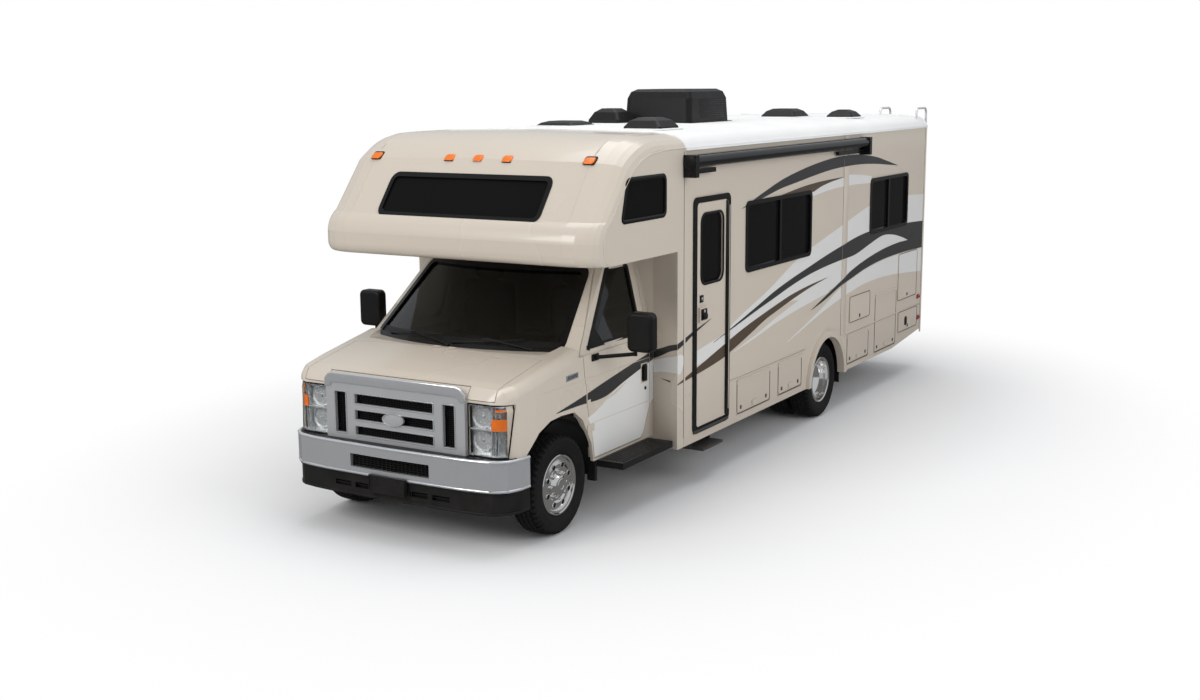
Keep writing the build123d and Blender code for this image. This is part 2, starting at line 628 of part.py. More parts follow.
# ---------------------------------------------------------------- coach tables
# Windows in the side walls: side, y from, y to, z from, z to, mullion y.
SIDE_WINDOWS = ((1, 2560, 4020, 1655, 2270, 3300), (1, 5590, 6770, 1700, 2280, 6160),
                (-1, 1760, 2760, 1655, 2270, 2260), (-1, 3200, 4300, 1655, 2270, 3750),
                (-1, 5590, 6770, 1700, 2280, 6160))
REAR_WINDOW = ((-520, 520), (1560, 2120))
# Doors of the baggage bays: name, side, y from, y to, z from, z to.
BAY_DOORS = (("left_front", 1, 2420, 3120, 440, 730), ("left_middle", 1, 3300, 3850, 440, 730),
             ("left_rear", 1, 5030, 5650, 430, 720), ("left_tall", 1, 5830, 6500, 420, 1030),
             ("right_front", -1, 2420, 3400, 440, 730), ("right_rear", -1, 5100, 6300, 430, 720))
# Service lids that stay shut: side, y from, y to, z from, z to.
SERVICE_LIDS = ((1, 5060, 5650, 850, 1120), (1, 6520, 7150, 880, 1400), (1, 6560, 7200, 520, 750),
                (-1, 6400, 7000, 900, 1350))
BAY_DEPTH = 560
BAY_SHEET = 15
ENTRY_FRAME = ((1570, 2250), (440, 2370))
ENTRY_LEAF = ((1642, 2200), (490, 2320))
ENTRY_WINDOW = ((1710, 2120), (1660, 2230))
ARCH_R = 430
FLARE_R = 492
REAR_SKIRT = ((6400, SKIRT_Z), (7320, 460))

for name, side in (("left", 1), ("right", -1)):
    inner, outer = side * INNER_X, side * HALF_WIDTH
    with BuildPart() as wall:
        points = [(COACH_FRONT, SKIRT_Z), *REAR_SKIRT, (7320, EAVE_Z), (COACH_FRONT, EAVE_Z)]
        extrude(outline(side_plane(inner), points), amount=side * WALL)
        rod((inner, WHEELBASE, AXLE_Z), (outer, WHEELBASE, AXLE_Z), ARCH_R, Mode.SUBTRACT)
        for window_side, y0, y1, z0, z1, mullion in SIDE_WINDOWS:
            if window_side == side:
                face = panel(side_plane(inner), (y0, y1), (z0, z1), 60)
                extrude(face, amount=side * WALL, mode=Mode.SUBTRACT)
        for bay, door_side, y0, y1, z0, z1 in BAY_DOORS:
            if door_side == side:
                block((inner, outer), (y0 - GAP, y1 + GAP), (z0 - GAP, z1 + GAP), Mode.SUBTRACT)
        for lid_side, y0, y1, z0, z1 in SERVICE_LIDS:
            if lid_side == side:
                block((side * (HALF_WIDTH - 20), outer), (y0, y1), (z0, z1), Mode.SUBTRACT)
        if side > 0:
            face = panel(side_plane(inner), *ENTRY_FRAME, 60)
            extrude(face, amount=WALL, mode=Mode.SUBTRACT)
    wall.part.label = f"wall_{name}"
    export_step(wall.part, f"parts/wall_{name}.step")

# Half of the roof's underside, from the wall to the middle: (x, z).
ROOF_INNER = ((HALF_WIDTH, EAVE_Z), (1200, EAVE_Z), (1130, 2810), (0, 2845))


def rear_wall_outline():
    """The rear wall's corner points, its top following the roof's underside."""
    bottom = [(-HALF_WIDTH, 460), (HALF_WIDTH, 460)]
    right = list(ROOF_INNER)
    return bottom + right + [(-x, z) for x, z in right[-2::-1]]


with BuildPart() as wall_rear:
    extrude(outline(front_plane(COACH_REAR), rear_wall_outline()), amount=50)
    extrude(panel(front_plane(COACH_REAR), *REAR_WINDOW, 60), amount=50, mode=Mode.SUBTRACT)
    block((-445, 445), (7310, COACH_REAR), (400, 640), Mode.SUBTRACT)
wall_rear.part.label = "wall_rear"
export_step(wall_rear.part, "parts/wall_rear.step")

with BuildPart() as roof:
    with BuildSketch(front_plane(COACH_REAR)) as section:
        with BuildLine():
            ThreePointArc((HALF_WIDTH, EAVE_Z), (1228, 2834), (1130, 2870))
            ThreePointArc((1130, 2870), (0, CROWN_Z), (-1130, 2870))
            ThreePointArc((-1130, 2870), (-1228, 2834), (-HALF_WIDTH, EAVE_Z))
            Polyline(*[(-x, z) for x, z in ROOF_INNER], *[(x, z) for x, z in ROOF_INNER[-2::-1]])
        make_face()
    extrude(section.sketch, amount=COACH_REAR - COACH_FRONT)
roof.part.label = "roof"
export_step(roof.part, "parts/roof.step")

WELL_Y = (WHEELBASE - 470, WHEELBASE + 470)
WELL_X = 700
WELL_TOP = 900
STEP_WELL = ((740, INNER_X), (1630, 2215), (465, FLOOR[0]))
with BuildPart() as floor:
    block((-INNER_X, INNER_X), (1447, 7320), FLOOR)
    block((-945, 945), (CAB_REAR, 1447), (CAB_FLOOR[0], FLOOR[1]))
    for side in (1, -1):
        block((side * WELL_X, side * INNER_X), WELL_Y, (FLOOR[0], WELL_TOP))
        block((side * (WELL_X + 20), side * INNER_X), (WELL_Y[0] + 20, WELL_Y[1] - 20), (500, WELL_TOP - 20),
              Mode.SUBTRACT)
        for station in (1500, 2900, 5250, 6200, 7250):
            block((side * RAIL_X[0], side * (RAIL_X[1] + 30)), (station - 40, station + 40),
                  (RAIL_Z[1], FLOOR[0]))
    for bay, door_side, y0, y1, z0, z1 in BAY_DOORS:
        if z1 > FLOOR[0]:
            block((door_side * (INNER_X - BAY_DEPTH - BAY_SHEET), door_side * INNER_X),
                  (y0 - GAP - BAY_SHEET, y1 + GAP + BAY_SHEET), FLOOR, Mode.SUBTRACT)
    block(STEP_WELL[0], STEP_WELL[1], FLOOR, Mode.SUBTRACT)
floor.part.label = "floor"
export_step(floor.part, "parts/floor.step")

with BuildPart() as baggage_bays:
    for bay, side, y0, y1, z0, z1 in BAY_DOORS:
        top = z1 + GAP + BAY_SHEET if z1 > FLOOR[0] else FLOOR[0]
        back = side * (INNER_X - BAY_DEPTH)
        block((back - side * BAY_SHEET, side * INNER_X),
              (y0 - GAP - BAY_SHEET, y1 + GAP + BAY_SHEET), (z0 - GAP - BAY_SHEET, top))
        block((back, side * (INNER_X + 1)), (y0 - GAP, y1 + GAP), (z0 - GAP, top - BAY_SHEET),
              Mode.SUBTRACT)
baggage_bays.part.label = "baggage_bays"
export_step(baggage_bays.part, "parts/baggage_bays.step")

BARREL_R = 5.7
BARREL_RISE = 8
for bay, side, y0, y1, z0, z1 in BAY_DOORS:
    with BuildPart() as lid:
        block((side * (INNER_X + 5), side * HALF_WIDTH), (y0, y1), (z0, z1))
        block((side * HALF_WIDTH, side * (HALF_WIDTH + 12)),
              ((y0 + y1) / 2 - 45, (y0 + y1) / 2 + 45), (z0 + 30, z0 + 70))
        hinge_x, hinge_z = side * (HALF_WIDTH + BARREL_R + SEAT), z1 + BARREL_RISE
        rod((hinge_x, y0, hinge_z), (hinge_x, y1, hinge_z), BARREL_R)
        block((side * (HALF_WIDTH + 1), hinge_x), (y0, y1), (z1 - 25, hinge_z))
        block((side * (HALF_WIDTH - 1), hinge_x), (y0, y1), (z1 - 25, z1))
    lid.part.label = f"bay_door_{bay}"
    export_step(lid.part, f"parts/bay_door_{bay}.step")

with BuildPart() as service_lids:
    for side, y0, y1, z0, z1 in SERVICE_LIDS:
        block((side * (HALF_WIDTH - 20), side * (HALF_WIDTH + 8)), (y0, y1), (z0, z1))
service_lids.part.label = "service_lids"
export_step(service_lids.part, "parts/service_lids.step")

with BuildPart() as arch_flares:
    for side in (1, -1):
        start, end = side * HALF_WIDTH, side * (HALF_WIDTH + 30)
        rod((start, WHEELBASE, AXLE_Z), (end, WHEELBASE, AXLE_Z), FLARE_R)
        rod((start, WHEELBASE, AXLE_Z), (end, WHEELBASE, AXLE_Z), ARCH_R, Mode.SUBTRACT)
        block((start, end), (3900, 5000), (-200, SKIRT_Z), Mode.SUBTRACT)
arch_flares.part.label = "arch_flares"
export_step(arch_flares.part, "parts/arch_flares.step")

# ---------------------------------------------------------------- windows and entry door
FRAME_WIDTH = 36
FRAME_X = (INNER_X + 5, HALF_WIDTH + 10)
GLASS_X = (1242, 1250)


def ring_faces(plane, y_range, z_range, width, rounding):
    """The outer and the inner face of a window frame on the plane."""
    inner_y = (y_range[0] + width, y_range[1] - width)
    inner_z = (z_range[0] + width, z_range[1] - width)
    return panel(plane, y_range, z_range, rounding), panel(plane, inner_y, inner_z, rounding - 15)


with BuildPart() as window_frames:
    depth = FRAME_X[1] - FRAME_X[0]
    for side, y0, y1, z0, z1, mullion in SIDE_WINDOWS:
        outer_face, inner_face = ring_faces(side_plane(side * FRAME_X[0]), (y0, y1), (z0, z1), FRAME_WIDTH, 60)
        extrude(outer_face, amount=side * depth)
        extrude(inner_face, amount=side * depth, mode=Mode.SUBTRACT)
        block((side * FRAME_X[0], side * (FRAME_X[1] - 4)), (mullion - 20, mullion + 20),
              (z0 + FRAME_WIDTH, z1 - FRAME_WIDTH))
    outer_face, inner_face = ring_faces(front_plane(COACH_REAR - 5), *REAR_WINDOW, FRAME_WIDTH, 60)
    extrude(outer_face, amount=-14)
    extrude(inner_face, amount=-14, mode=Mode.SUBTRACT)
    extrude(outer_face, amount=30)
    extrude(inner_face, amount=30, mode=Mode.SUBTRACT)
window_frames.part.label = "window_frames"
export_step(window_frames.part, "parts/window_frames.step")

with BuildPart() as cap_windows:
    extrude(panel(front_plane(300), *CAP_WINDOW, 50), amount=400, both=True)
    extrude(outline(side_plane(-1300), BUNK_WINDOW, 50), amount=2600)

with BuildPart() as cap_glass:
    add(front_cap_solid(8))
    add(front_cap_solid(16), mode=Mode.SUBTRACT)
    add(cap_windows.part, mode=Mode.INTERSECT)

with BuildPart() as coach_glass:
    for side, y0, y1, z0, z1, mullion in SIDE_WINDOWS:
        start = side * GLASS_X[0]
        inner_face = ring_faces(side_plane(start), (y0, y1), (z0, z1), FRAME_WIDTH, 60)[1]
        extrude(inner_face, amount=side * (GLASS_X[1] - GLASS_X[0]))
        block((side * INNER_X, side * HALF_WIDTH), (mullion - 20, mullion + 20), (z0, z1), Mode.SUBTRACT)
    inner_face = ring_faces(front_plane(COACH_REAR - 20), *REAR_WINDOW, FRAME_WIDTH, 60)[1]
    extrude(inner_face, amount=8)
    add(cap_glass.part)
coach_glass.part.label = "coach_glass"
export_step(coach_glass.part, "parts/coach_glass.step")

with BuildPart() as entry_frame:
    extrude(panel(side_plane(FRAME_X[0]), *ENTRY_FRAME, 60), amount=depth)
    extrude(panel(side_plane(FRAME_X[0]), (1634, 2206), (484, 2326), 40), amount=depth, mode=Mode.SUBTRACT)
entry_frame.part.label = "entry_frame"
export_step(entry_frame.part, "parts/entry_frame.step")

with BuildPart() as entry_door:
    extrude(panel(side_plane(FRAME_X[0]), *ENTRY_LEAF, 36), amount=HALF_WIDTH + 3 - FRAME_X[0])
    extrude(panel(side_plane(FRAME_X[0]), *ENTRY_WINDOW, 80), amount=depth, mode=Mode.SUBTRACT)
    block((HALF_WIDTH, HALF_WIDTH + 28), (1655, 1785), (1360, 1480))
    hinge_x, hinge_y = FRAME_X[1] + BARREL_R + SEAT, 2212
    hinge_z = (ENTRY_LEAF[1][0] + 50, ENTRY_LEAF[1][1] - 50)
    rod((hinge_x, hinge_y, hinge_z[0]), (hinge_x, hinge_y, hinge_z[1]), BARREL_R)
    block((FRAME_X[1] + 1, hinge_x), (2170, hinge_y), hinge_z)
    block((HALF_WIDTH, hinge_x), (2170, 2198), hinge_z)
entry_door.part.label = "entry_door"
export_step(entry_door.part, "parts/entry_door.step")

with BuildPart() as entry_door_glass:
    extrude(panel(side_plane(GLASS_X[0]), *ENTRY_WINDOW, 80), amount=GLASS_X[1] - GLASS_X[0])
entry_door_glass.part.label = "entry_door_glass"
export_step(entry_door_glass.part, "parts/entry_door_glass.step")

STEP_SHEET = 15
with BuildPart() as entry_step:
    (x0, x1), (y0, y1), (z0, z1) = STEP_WELL
    block((x0, x1), (y0, y1), (z0, z1))
    block((x0 + STEP_SHEET, x1), (y0 + STEP_SHEET, y1 - STEP_SHEET), (z0 + STEP_SHEET, z1), Mode.SUBTRACT)
    block((x0, 970), (y0, y1), (z0, 620))
    block((x0 - 5, 955), (y0 + STEP_SHEET, y1 - STEP_SHEET), (z0 - 5, 605), Mode.SUBTRACT)
    block((1060, 1300), (1710, 2080), (280, 300))
    for station in (1710, 2060):
        block((1060, 1180), (station, station + 20), (300, z0))
entry_step.part.label = "entry_step"
export_step(entry_step.part, "parts/entry_step.step")

# ---------------------------------------------------------------- outside fittings
AWNING_X = 1325
AWNING_Z = 2660
AWNING_Y = (1400, 5250)
AWNING_ARMS = ((1460, 1880), (4560, 5250))
with BuildPart() as awning:
    rod((AWNING_X, AWNING_Y[0], AWNING_Z), (AWNING_X, AWNING_Y[1], AWNING_Z), 48)
    for station in AWNING_Y:
        block((HALF_WIDTH, AWNING_X + 50), (station, station + 60), (2540, 2715))
    for y0, y1 in AWNING_ARMS:
        block((HALF_WIDTH + 20, HALF_WIDTH + 50), (y0, y1), (2562, 2600))
    block((HALF_WIDTH, AWNING_X), AWNING_Y, (2690, 2712))
awning.part.label = "awning"
export_step(awning.part, "parts/awning.step")

# Levels of the air conditioner: height, half width, front and rear station.
AC_LEVELS = ((2885, 350, 3300, 4150), (3120, 338, 3318, 4134), (3180, 315, 3345, 4108), (3205, 270, 3390, 4060))
with BuildPart() as roof_ac:
    levels = []
    for height, half, y0, y1 in AC_LEVELS:
        with BuildSketch(plan_plane(height)) as level:
            with Locations((0, (y0 + y1) / 2)):
                Rectangle(2 * half, y1 - y0)
            fillet(level.vertices(), 60)
        levels.append(level.sketch)
    loft(levels, ruled=True)
    add(roof.part, mode=Mode.SUBTRACT)
roof_ac.part.label = "roof_ac"
export_step(roof_ac.part, "parts/roof_ac.step")

# Roof vents: x, y, half size, height above the roof's crown.
ROOF_VENTS = ((-400, 2350, 210, 40), (-330, 3050, 170, 135), (655, 2000, 180, 85), (300, 5600, 200, 85),
              (820, 5950, 150, 70))
# Levels of a vent's cover: share of the height, how far its sides are drawn in.
VENT_LEVELS = ((0, 0), (0.4, 6), (0.8, 45), (1, 95))
with BuildPart() as roof_vents:
    for x, station, half, height in ROOF_VENTS:
        levels = []
        for share, drawn_in in VENT_LEVELS:
            with BuildSketch(plan_plane(2866 + share * (CROWN_Z + height - 2866))) as level:
                with Locations((x, station)):
                    Rectangle(2 * (half - drawn_in), 2 * (half - drawn_in))
                fillet(level.vertices(), 30)
            levels.append(level.sketch)
        loft(levels, ruled=True)
    add(roof.part, mode=Mode.SUBTRACT)
roof_vents.part.label = "roof_vents"
export_step(roof_vents.part, "parts/roof_vents.step")

LADDER_RAILS = ((790, 2886), (1210, 2855.5))  # x, height of the roof under the hoop
LADDER_Y = 7488
LADDER_Z = (660, 2960)
LADDER_TUBE = 12
with BuildPart() as ladder:
    for x, roof_z in LADDER_RAILS:
        with BuildLine() as path:
            FilletPolyline(
                *[(x, FRONT_AXLE_Y + y, z) for y, z in
                  ((COACH_REAR, 680), (LADDER_Y, 680), (LADDER_Y, LADDER_Z[1]), (7150, LADDER_Z[1]),
                   (7150, roof_z))],
                radius=60)
        with BuildSketch(path.line ^ 0) as tube:
            Circle(LADDER_TUBE)
        sweep(tube.sketch, path=path.line)
    for count in range(7):
        z = 760 + 300 * count
        rod((LADDER_RAILS[0][0], LADDER_Y, z), (LADDER_RAILS[1][0], LADDER_Y, z), LADDER_TUBE - 1)
ladder.part.label = "ladder"
export_step(ladder.part, "parts/ladder.step")

HITCH_Z = 470
with BuildPart() as rear_bumper:
    block((-1240, 1240), (COACH_REAR, 7440), (500, 620))
    for side in (1, -1):
        block((side * RAIL_X[0], side * RAIL_X[1]), (7320, COACH_REAR + 10), (520, 600))
    block((-38, 38), (7100, 7440), (HITCH_Z - 38, 500))
    block((-25.5, 25.5), (7140, 7441), (HITCH_Z - 25.5, HITCH_Z + 25.5), Mode.SUBTRACT)
    rod((-60, 7390, HITCH_Z), (60, 7390, HITCH_Z), 8, Mode.SUBTRACT)
rear_bumper.part.label = "rear_bumper"
export_step(rear_bumper.part, "parts/rear_bumper.step")

with BuildPart() as lamps:
    for side in (1, -1):
        block((side * 1090, side * 1210), (COACH_REAR, 7395), (880, 1180))
        for station, z in ((7240, 844), (7270, 600)):
            block((side * HALF_WIDTH, side * (HALF_WIDTH + 14)), (station - 35, station + 35), (z - 18, z + 18))
    for x in (-987, -268, 0, 268, 987):
        with Locations((x, FRONT_AXLE_Y + 440, 2712)):
            Box(90, 60, 40)
    add(front_cap_solid(0), mode=Mode.SUBTRACT)
lamps.part.label = "lamps"
export_step(lamps.part, "parts/lamps.step")
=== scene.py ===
"""Dresses the motorhome: finishes, graphics, lamps, trim, tyres, wheels and the cab's inside."""
import logging
import math
from dataclasses import dataclass, field, replace
from enum import Enum
from typing import Callable, Iterable, Sequence

import bmesh
import bpy
from mathutils import Matrix, Vector

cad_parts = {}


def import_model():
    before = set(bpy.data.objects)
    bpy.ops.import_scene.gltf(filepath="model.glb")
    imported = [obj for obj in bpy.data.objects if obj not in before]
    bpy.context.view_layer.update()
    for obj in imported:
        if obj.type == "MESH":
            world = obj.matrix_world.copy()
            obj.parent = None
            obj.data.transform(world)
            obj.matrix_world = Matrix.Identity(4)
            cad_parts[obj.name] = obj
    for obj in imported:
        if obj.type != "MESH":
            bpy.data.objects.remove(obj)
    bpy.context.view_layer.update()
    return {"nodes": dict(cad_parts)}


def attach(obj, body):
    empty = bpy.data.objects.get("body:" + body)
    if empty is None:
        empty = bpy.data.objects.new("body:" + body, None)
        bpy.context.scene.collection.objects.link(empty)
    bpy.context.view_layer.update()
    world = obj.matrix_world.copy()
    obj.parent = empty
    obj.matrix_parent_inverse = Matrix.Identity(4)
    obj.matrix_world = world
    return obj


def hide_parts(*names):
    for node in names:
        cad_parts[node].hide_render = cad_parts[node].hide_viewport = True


LOG = logging.getLogger("motorhome")
FRONT_AXLE_Y = -3.355
COACH = "coach"
Pair = tuple[float, float]
Triple = tuple[float, float, float]
Outline = Sequence[Pair]
Mesh = bmesh.types.BMesh
SIDES = ((1, "left"), (-1, "right"))
WALL_X = 1.265
LID_X = 1.273
AXLE_Z = 0.372
WHEELBASE = 4.47


# ---------------------------------------------------------------- finishes
ROAD_DUST = (0.16, 0.14, 0.12, 1.0)
DUST_TOP, DUST_FULL = 0.9, 0.25
COAT_ROUGHNESS = 0.06
GLASS_IOR = 1.45


def add_node(tree: bpy.types.NodeTree, kind: str, links: dict | None = None,
             values: dict | None = None, **settings: str) -> bpy.types.NodeOutputs:
    """Adds a shader node.

    Args:
        tree: the nodes it joins.
        kind: the node's type, without its first part.
        links: the sockets that feed its inputs.
        values: the values of its other inputs.
        settings: its menus.

    Returns:
        Its outputs.
    """
    made = tree.nodes.new(f"ShaderNode{kind}")
    for key, value in settings.items():
        setattr(made, key, value)
    for key, value in (values or {}).items():
        made.inputs[key].default_value = value
    for key, source in (links or {}).items():
        tree.links.new(source, made.inputs[key])
    return made.outputs


@dataclass(frozen=True)
class Finish:
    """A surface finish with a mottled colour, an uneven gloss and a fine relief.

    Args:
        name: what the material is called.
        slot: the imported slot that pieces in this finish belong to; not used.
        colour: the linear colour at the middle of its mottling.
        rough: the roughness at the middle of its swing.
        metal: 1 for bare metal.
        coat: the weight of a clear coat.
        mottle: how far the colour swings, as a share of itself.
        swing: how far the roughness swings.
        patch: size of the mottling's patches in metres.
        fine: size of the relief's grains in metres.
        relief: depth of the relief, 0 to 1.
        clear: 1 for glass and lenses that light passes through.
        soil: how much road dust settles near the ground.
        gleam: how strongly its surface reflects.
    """

    name: str
    slot: str
    colour: Triple
    rough: float
    metal: float = 0.0
    coat: float = 0.0
    mottle: float = 0.05
    swing: float = 0.05
    patch: float = 0.35
    fine: float = 0.004
    relief: float = 0.05
    clear: float = 0.0
    soil: float = 0.0
    gleam: float = 0.5

    def material(self) -> bpy.types.Material:
        """Returns the finish's material, made on first use.

        Returns:
            The material.
        """
        label = f"{self.name}_finish"
        found = bpy.data.materials.get(label)
        if found:
            return found
        made = bpy.data.materials.new(label)
        made.use_nodes = True
        tree = made.node_tree
        shader = tree.nodes["Principled BSDF"].inputs
        for key, value in (("Metallic", self.metal), ("Coat Weight", self.coat), ("IOR", GLASS_IOR),
                           ("Coat Roughness", COAT_ROUGHNESS), ("Transmission Weight", self.clear),
                           ("Specular IOR Level", self.gleam)):
            shader[key].default_value = value
        place = add_node(tree, "TexCoord")["Object"]
        patches, grains = (add_node(tree, "TexNoise", {"Vector": place},
                                    {"Scale": 1 / size, "Detail": detail})["Fac"]
                           for size, detail in ((self.patch, 4.0), (self.fine, 2.0)))
        shades = {6 + index: tuple(min(1.0, part * (1 + way * self.mottle)) for part in self.colour)
                  + (1.0,) for index, way in enumerate((-1, 1))}
        colour = add_node(tree, "Mix", {"Factor": patches}, shades, data_type="RGBA")[2]
        if self.soil:
            height = add_node(tree, "SeparateXYZ", {"Vector": place})["Z"]
            low = add_node(
                tree, "MapRange", {"Value": height},
                {"From Min": DUST_TOP, "From Max": DUST_FULL, "To Max": self.soil})["Result"]
            dust = add_node(tree, "Math", {0: low, 1: patches}, operation="MULTIPLY")["Value"]
            colour = add_node(
                tree, "Mix", {"Factor": dust, 6: colour}, {7: ROAD_DUST}, data_type="RGBA")[2]
        tree.links.new(colour, shader["Base Color"])
        gloss = add_node(
            tree, "MapRange", {"Value": patches},
            {"From Min": 0.15, "From Max": 0.85, "To Min": max(0.02, self.rough - self.swing),
             "To Max": min(1.0, self.rough + self.swing)})["Result"]
        tree.links.new(gloss, shader["Roughness"])
        if self.relief:
            bump = add_node(tree, "Bump", {"Height": grains},
                            {"Strength": self.relief, "Distance": self.fine})
            tree.links.new(bump["Normal"], shader["Normal"])
        return made


BEIGE_PAINT = Finish("beige_paint", "body_paint", (0.585, 0.52, 0.44), 0.27, coat=0.4, mottle=0.008,
                     swing=0.015, patch=1.4, fine=0.02, relief=0.008, soil=0.3)
BEIGE_SKIN = Finish("beige_skin", "coach_skin", (0.58, 0.51, 0.43), 0.33, coat=0.25, mottle=0.01,
                    swing=0.02, patch=1.1, fine=0.02, relief=0.01, soil=0.3)
MEMBRANE = Finish("roof_membrane", "roof_membrane", (0.8, 0.8, 0.79), 0.62, mottle=0.06, swing=0.08,
                  patch=0.5, fine=0.006, relief=0.12)
BLACK_PLASTIC = Finish(
    "black_plastic", "black_trim", (0.0075, 0.0072, 0.0072), 0.42, mottle=0.2, swing=0.08,
    patch=0.12, fine=0.0012, relief=0.2, soil=0.1, gleam=0.28)
BLACK_GLOSS = Finish("black_gloss", "window_black", (0.005, 0.005, 0.005), 0.22, coat=0.1,
                     mottle=0.1, swing=0.05, patch=0.3, fine=0.003, relief=0.02, gleam=0.25)
DARK_GLASS = Finish("dark_glass", "dark_glass", (0.0065, 0.0065, 0.0065), 0.05, mottle=0.2,
                    swing=0.02, patch=0.6, fine=0.05, relief=0.01, gleam=0.05)
CAB_GLASS = Finish("cab_glass", "clear_glass", (0.105, 0.118, 0.115), 0.03, mottle=0.03, swing=0.01,
                   patch=0.5, relief=0.0, clear=1.0, gleam=0.14)
CHROME = Finish("chrome", "chrome_trim", (0.7, 0.71, 0.73), 0.13, metal=0.7, mottle=0.03,
                swing=0.03, patch=0.3, fine=0.02, relief=0.0)
SATIN = Finish("satin_silver", "chrome_trim", (0.4, 0.405, 0.415), 0.36, metal=0.2, coat=0.3,
               mottle=0.03, swing=0.05, patch=0.2, fine=0.003, relief=0.03)
POLISHED = Finish("polished_steel", "rim_steel", (0.86, 0.85, 0.83), 0.13, metal=1.0, mottle=0.04,
                  swing=0.04, patch=0.08, fine=0.01, relief=0.0)
FRAME_STEEL = Finish("frame_steel", "frame_steel", (0.03, 0.03, 0.032), 0.55, metal=0.2, mottle=0.3,
                     swing=0.12, patch=0.15, fine=0.004, relief=0.25, soil=0.5)
# Dark brown-black lines: rubber seals, and painted shade for the gaps and mouldings beside them.
SEAL_AND_SHADE = Finish("painted_shade_seal", "black_trim", (0.06, 0.05, 0.04), 0.55, mottle=0.2, swing=0.08,
              patch=0.12, fine=0.002, relief=0.2, gleam=0.3)
CAST = Finish("cast_metal", "cast_metal", (0.09, 0.085, 0.08), 0.62, metal=0.6, mottle=0.25,
              swing=0.1, patch=0.08, fine=0.004, relief=0.4, soil=0.5)
EXHAUST = Finish("exhaust_steel", "exhaust_steel", (0.2, 0.17, 0.14), 0.5, metal=0.9, mottle=0.35,
                 swing=0.12, patch=0.1, fine=0.005, relief=0.2)
TANK = Finish("tank_plastic", "tank_plastic", (0.035, 0.035, 0.036), 0.55, mottle=0.15, swing=0.08,
              patch=0.2, fine=0.003, relief=0.3, soil=0.4)
RUBBER = Finish("tyre_rubber", "tyre_rubber", (0.0085, 0.0085, 0.0087), 0.7, mottle=0.2, swing=0.1,
                patch=0.06, fine=0.0015, relief=0.3, soil=0.06, gleam=0.2)
AMBER = Finish("amber_lens", "marker_lens", (0.8, 0.17, 0.008), 0.18, coat=0.2, mottle=0.1,
               swing=0.05, patch=0.01, fine=0.004, relief=0.25)
RED = Finish("red_lens", "marker_lens", (0.45, 0.015, 0.012), 0.2, coat=0.5, mottle=0.12,
             swing=0.05, patch=0.02, fine=0.004, relief=0.25)
LAMP_GLASS = Finish("lamp_glass", "clear_glass", (0.9, 0.92, 0.93), 0.03, mottle=0.02, swing=0.01,
                    patch=0.1, relief=0.0, clear=1.0)
REFLECTOR = Finish("lamp_reflector", "lamp_lens", (0.66, 0.67, 0.68), 0.26, metal=0.6, mottle=0.05,
                   swing=0.05, patch=0.03, fine=0.006, relief=0.02)
LENS_WHITE = Finish("lens_white", "lamp_lens", (0.7, 0.7, 0.69), 0.2, coat=0.4, mottle=0.05,
                    swing=0.05, patch=0.02, fine=0.004, relief=0.2)
MIRROR = Finish("mirror_glass", "mirror_shell", (0.8, 0.81, 0.82), 0.03, metal=1.0, mottle=0.02,
                swing=0.01, patch=0.2, relief=0.0)
AWNING_CLOTH = Finish(
    "awning_cloth", "black_trim", (0.024, 0.021, 0.019), 0.75, mottle=0.15, swing=0.06, patch=0.2,
    fine=0.0016, relief=0.4)
CARPET = Finish("cab_carpet", "seat_cloth", (0.03, 0.028, 0.026), 0.95, mottle=0.25, swing=0.03,
                patch=0.06, fine=0.0025, relief=0.7)
SEAT_CLOTH = Finish("seat_cloth", "seat_cloth", (0.055, 0.052, 0.05), 0.9, mottle=0.2, swing=0.05,
                    patch=0.05, fine=0.0016, relief=0.6)
DASH = Finish("dash_plastic", "dash_plastic", (0.03, 0.029, 0.028), 0.6, mottle=0.12, swing=0.06,
              patch=0.1, fine=0.0015, relief=0.35)
FLOOR_BOARD = Finish("floor_board", "floor_board", (0.12, 0.1, 0.085), 0.8, mottle=0.25, swing=0.06,
                     patch=0.2, fine=0.003, relief=0.3)
BAY_LINER = Finish("bay_liner", "bay_liner", (0.2, 0.2, 0.2), 0.7, mottle=0.15, swing=0.06,
                   patch=0.2, fine=0.004, relief=0.25)
STEP_METAL = Finish("step_metal", "chrome_trim", (0.03, 0.03, 0.03), 0.5, mottle=0.25, swing=0.1,
                    patch=0.06, fine=0.003, relief=0.45, soil=0.3)
LADDER_TUBE = Finish("ladder_tube", "ladder_tube", (0.74, 0.74, 0.73), 0.28, metal=0.55,
                     mottle=0.04, swing=0.06, patch=0.08, fine=0.004, relief=0.06)
WHITE_FILM = Finish("white_film", "body_paint", (0.7, 0.692, 0.675), 0.3, coat=0.25, mottle=0.008,
                    swing=0.02, patch=0.6, fine=0.01, relief=0.01, soil=0.15)
CHARCOAL_FILM = Finish(
    "charcoal_film", "body_paint", (0.03, 0.03, 0.031), 0.32, coat=0.15, mottle=0.05, swing=0.03,
    patch=0.5, fine=0.01, relief=0.01, gleam=0.35)
BROWN_FILM = Finish("brown_film", "body_paint", (0.08, 0.055, 0.036), 0.34, coat=0.15, mottle=0.05,
                    swing=0.03, patch=0.5, fine=0.01, relief=0.01, gleam=0.35)
FLOOR_PAPER = Finish(
    "studio_floor", "", (0.8, 0.8, 0.8), 0.85, mottle=0.01, swing=0.02, patch=2.0, relief=0.0)
TRIM_GLOSS = replace(BLACK_GLOSS, slot="black_trim")

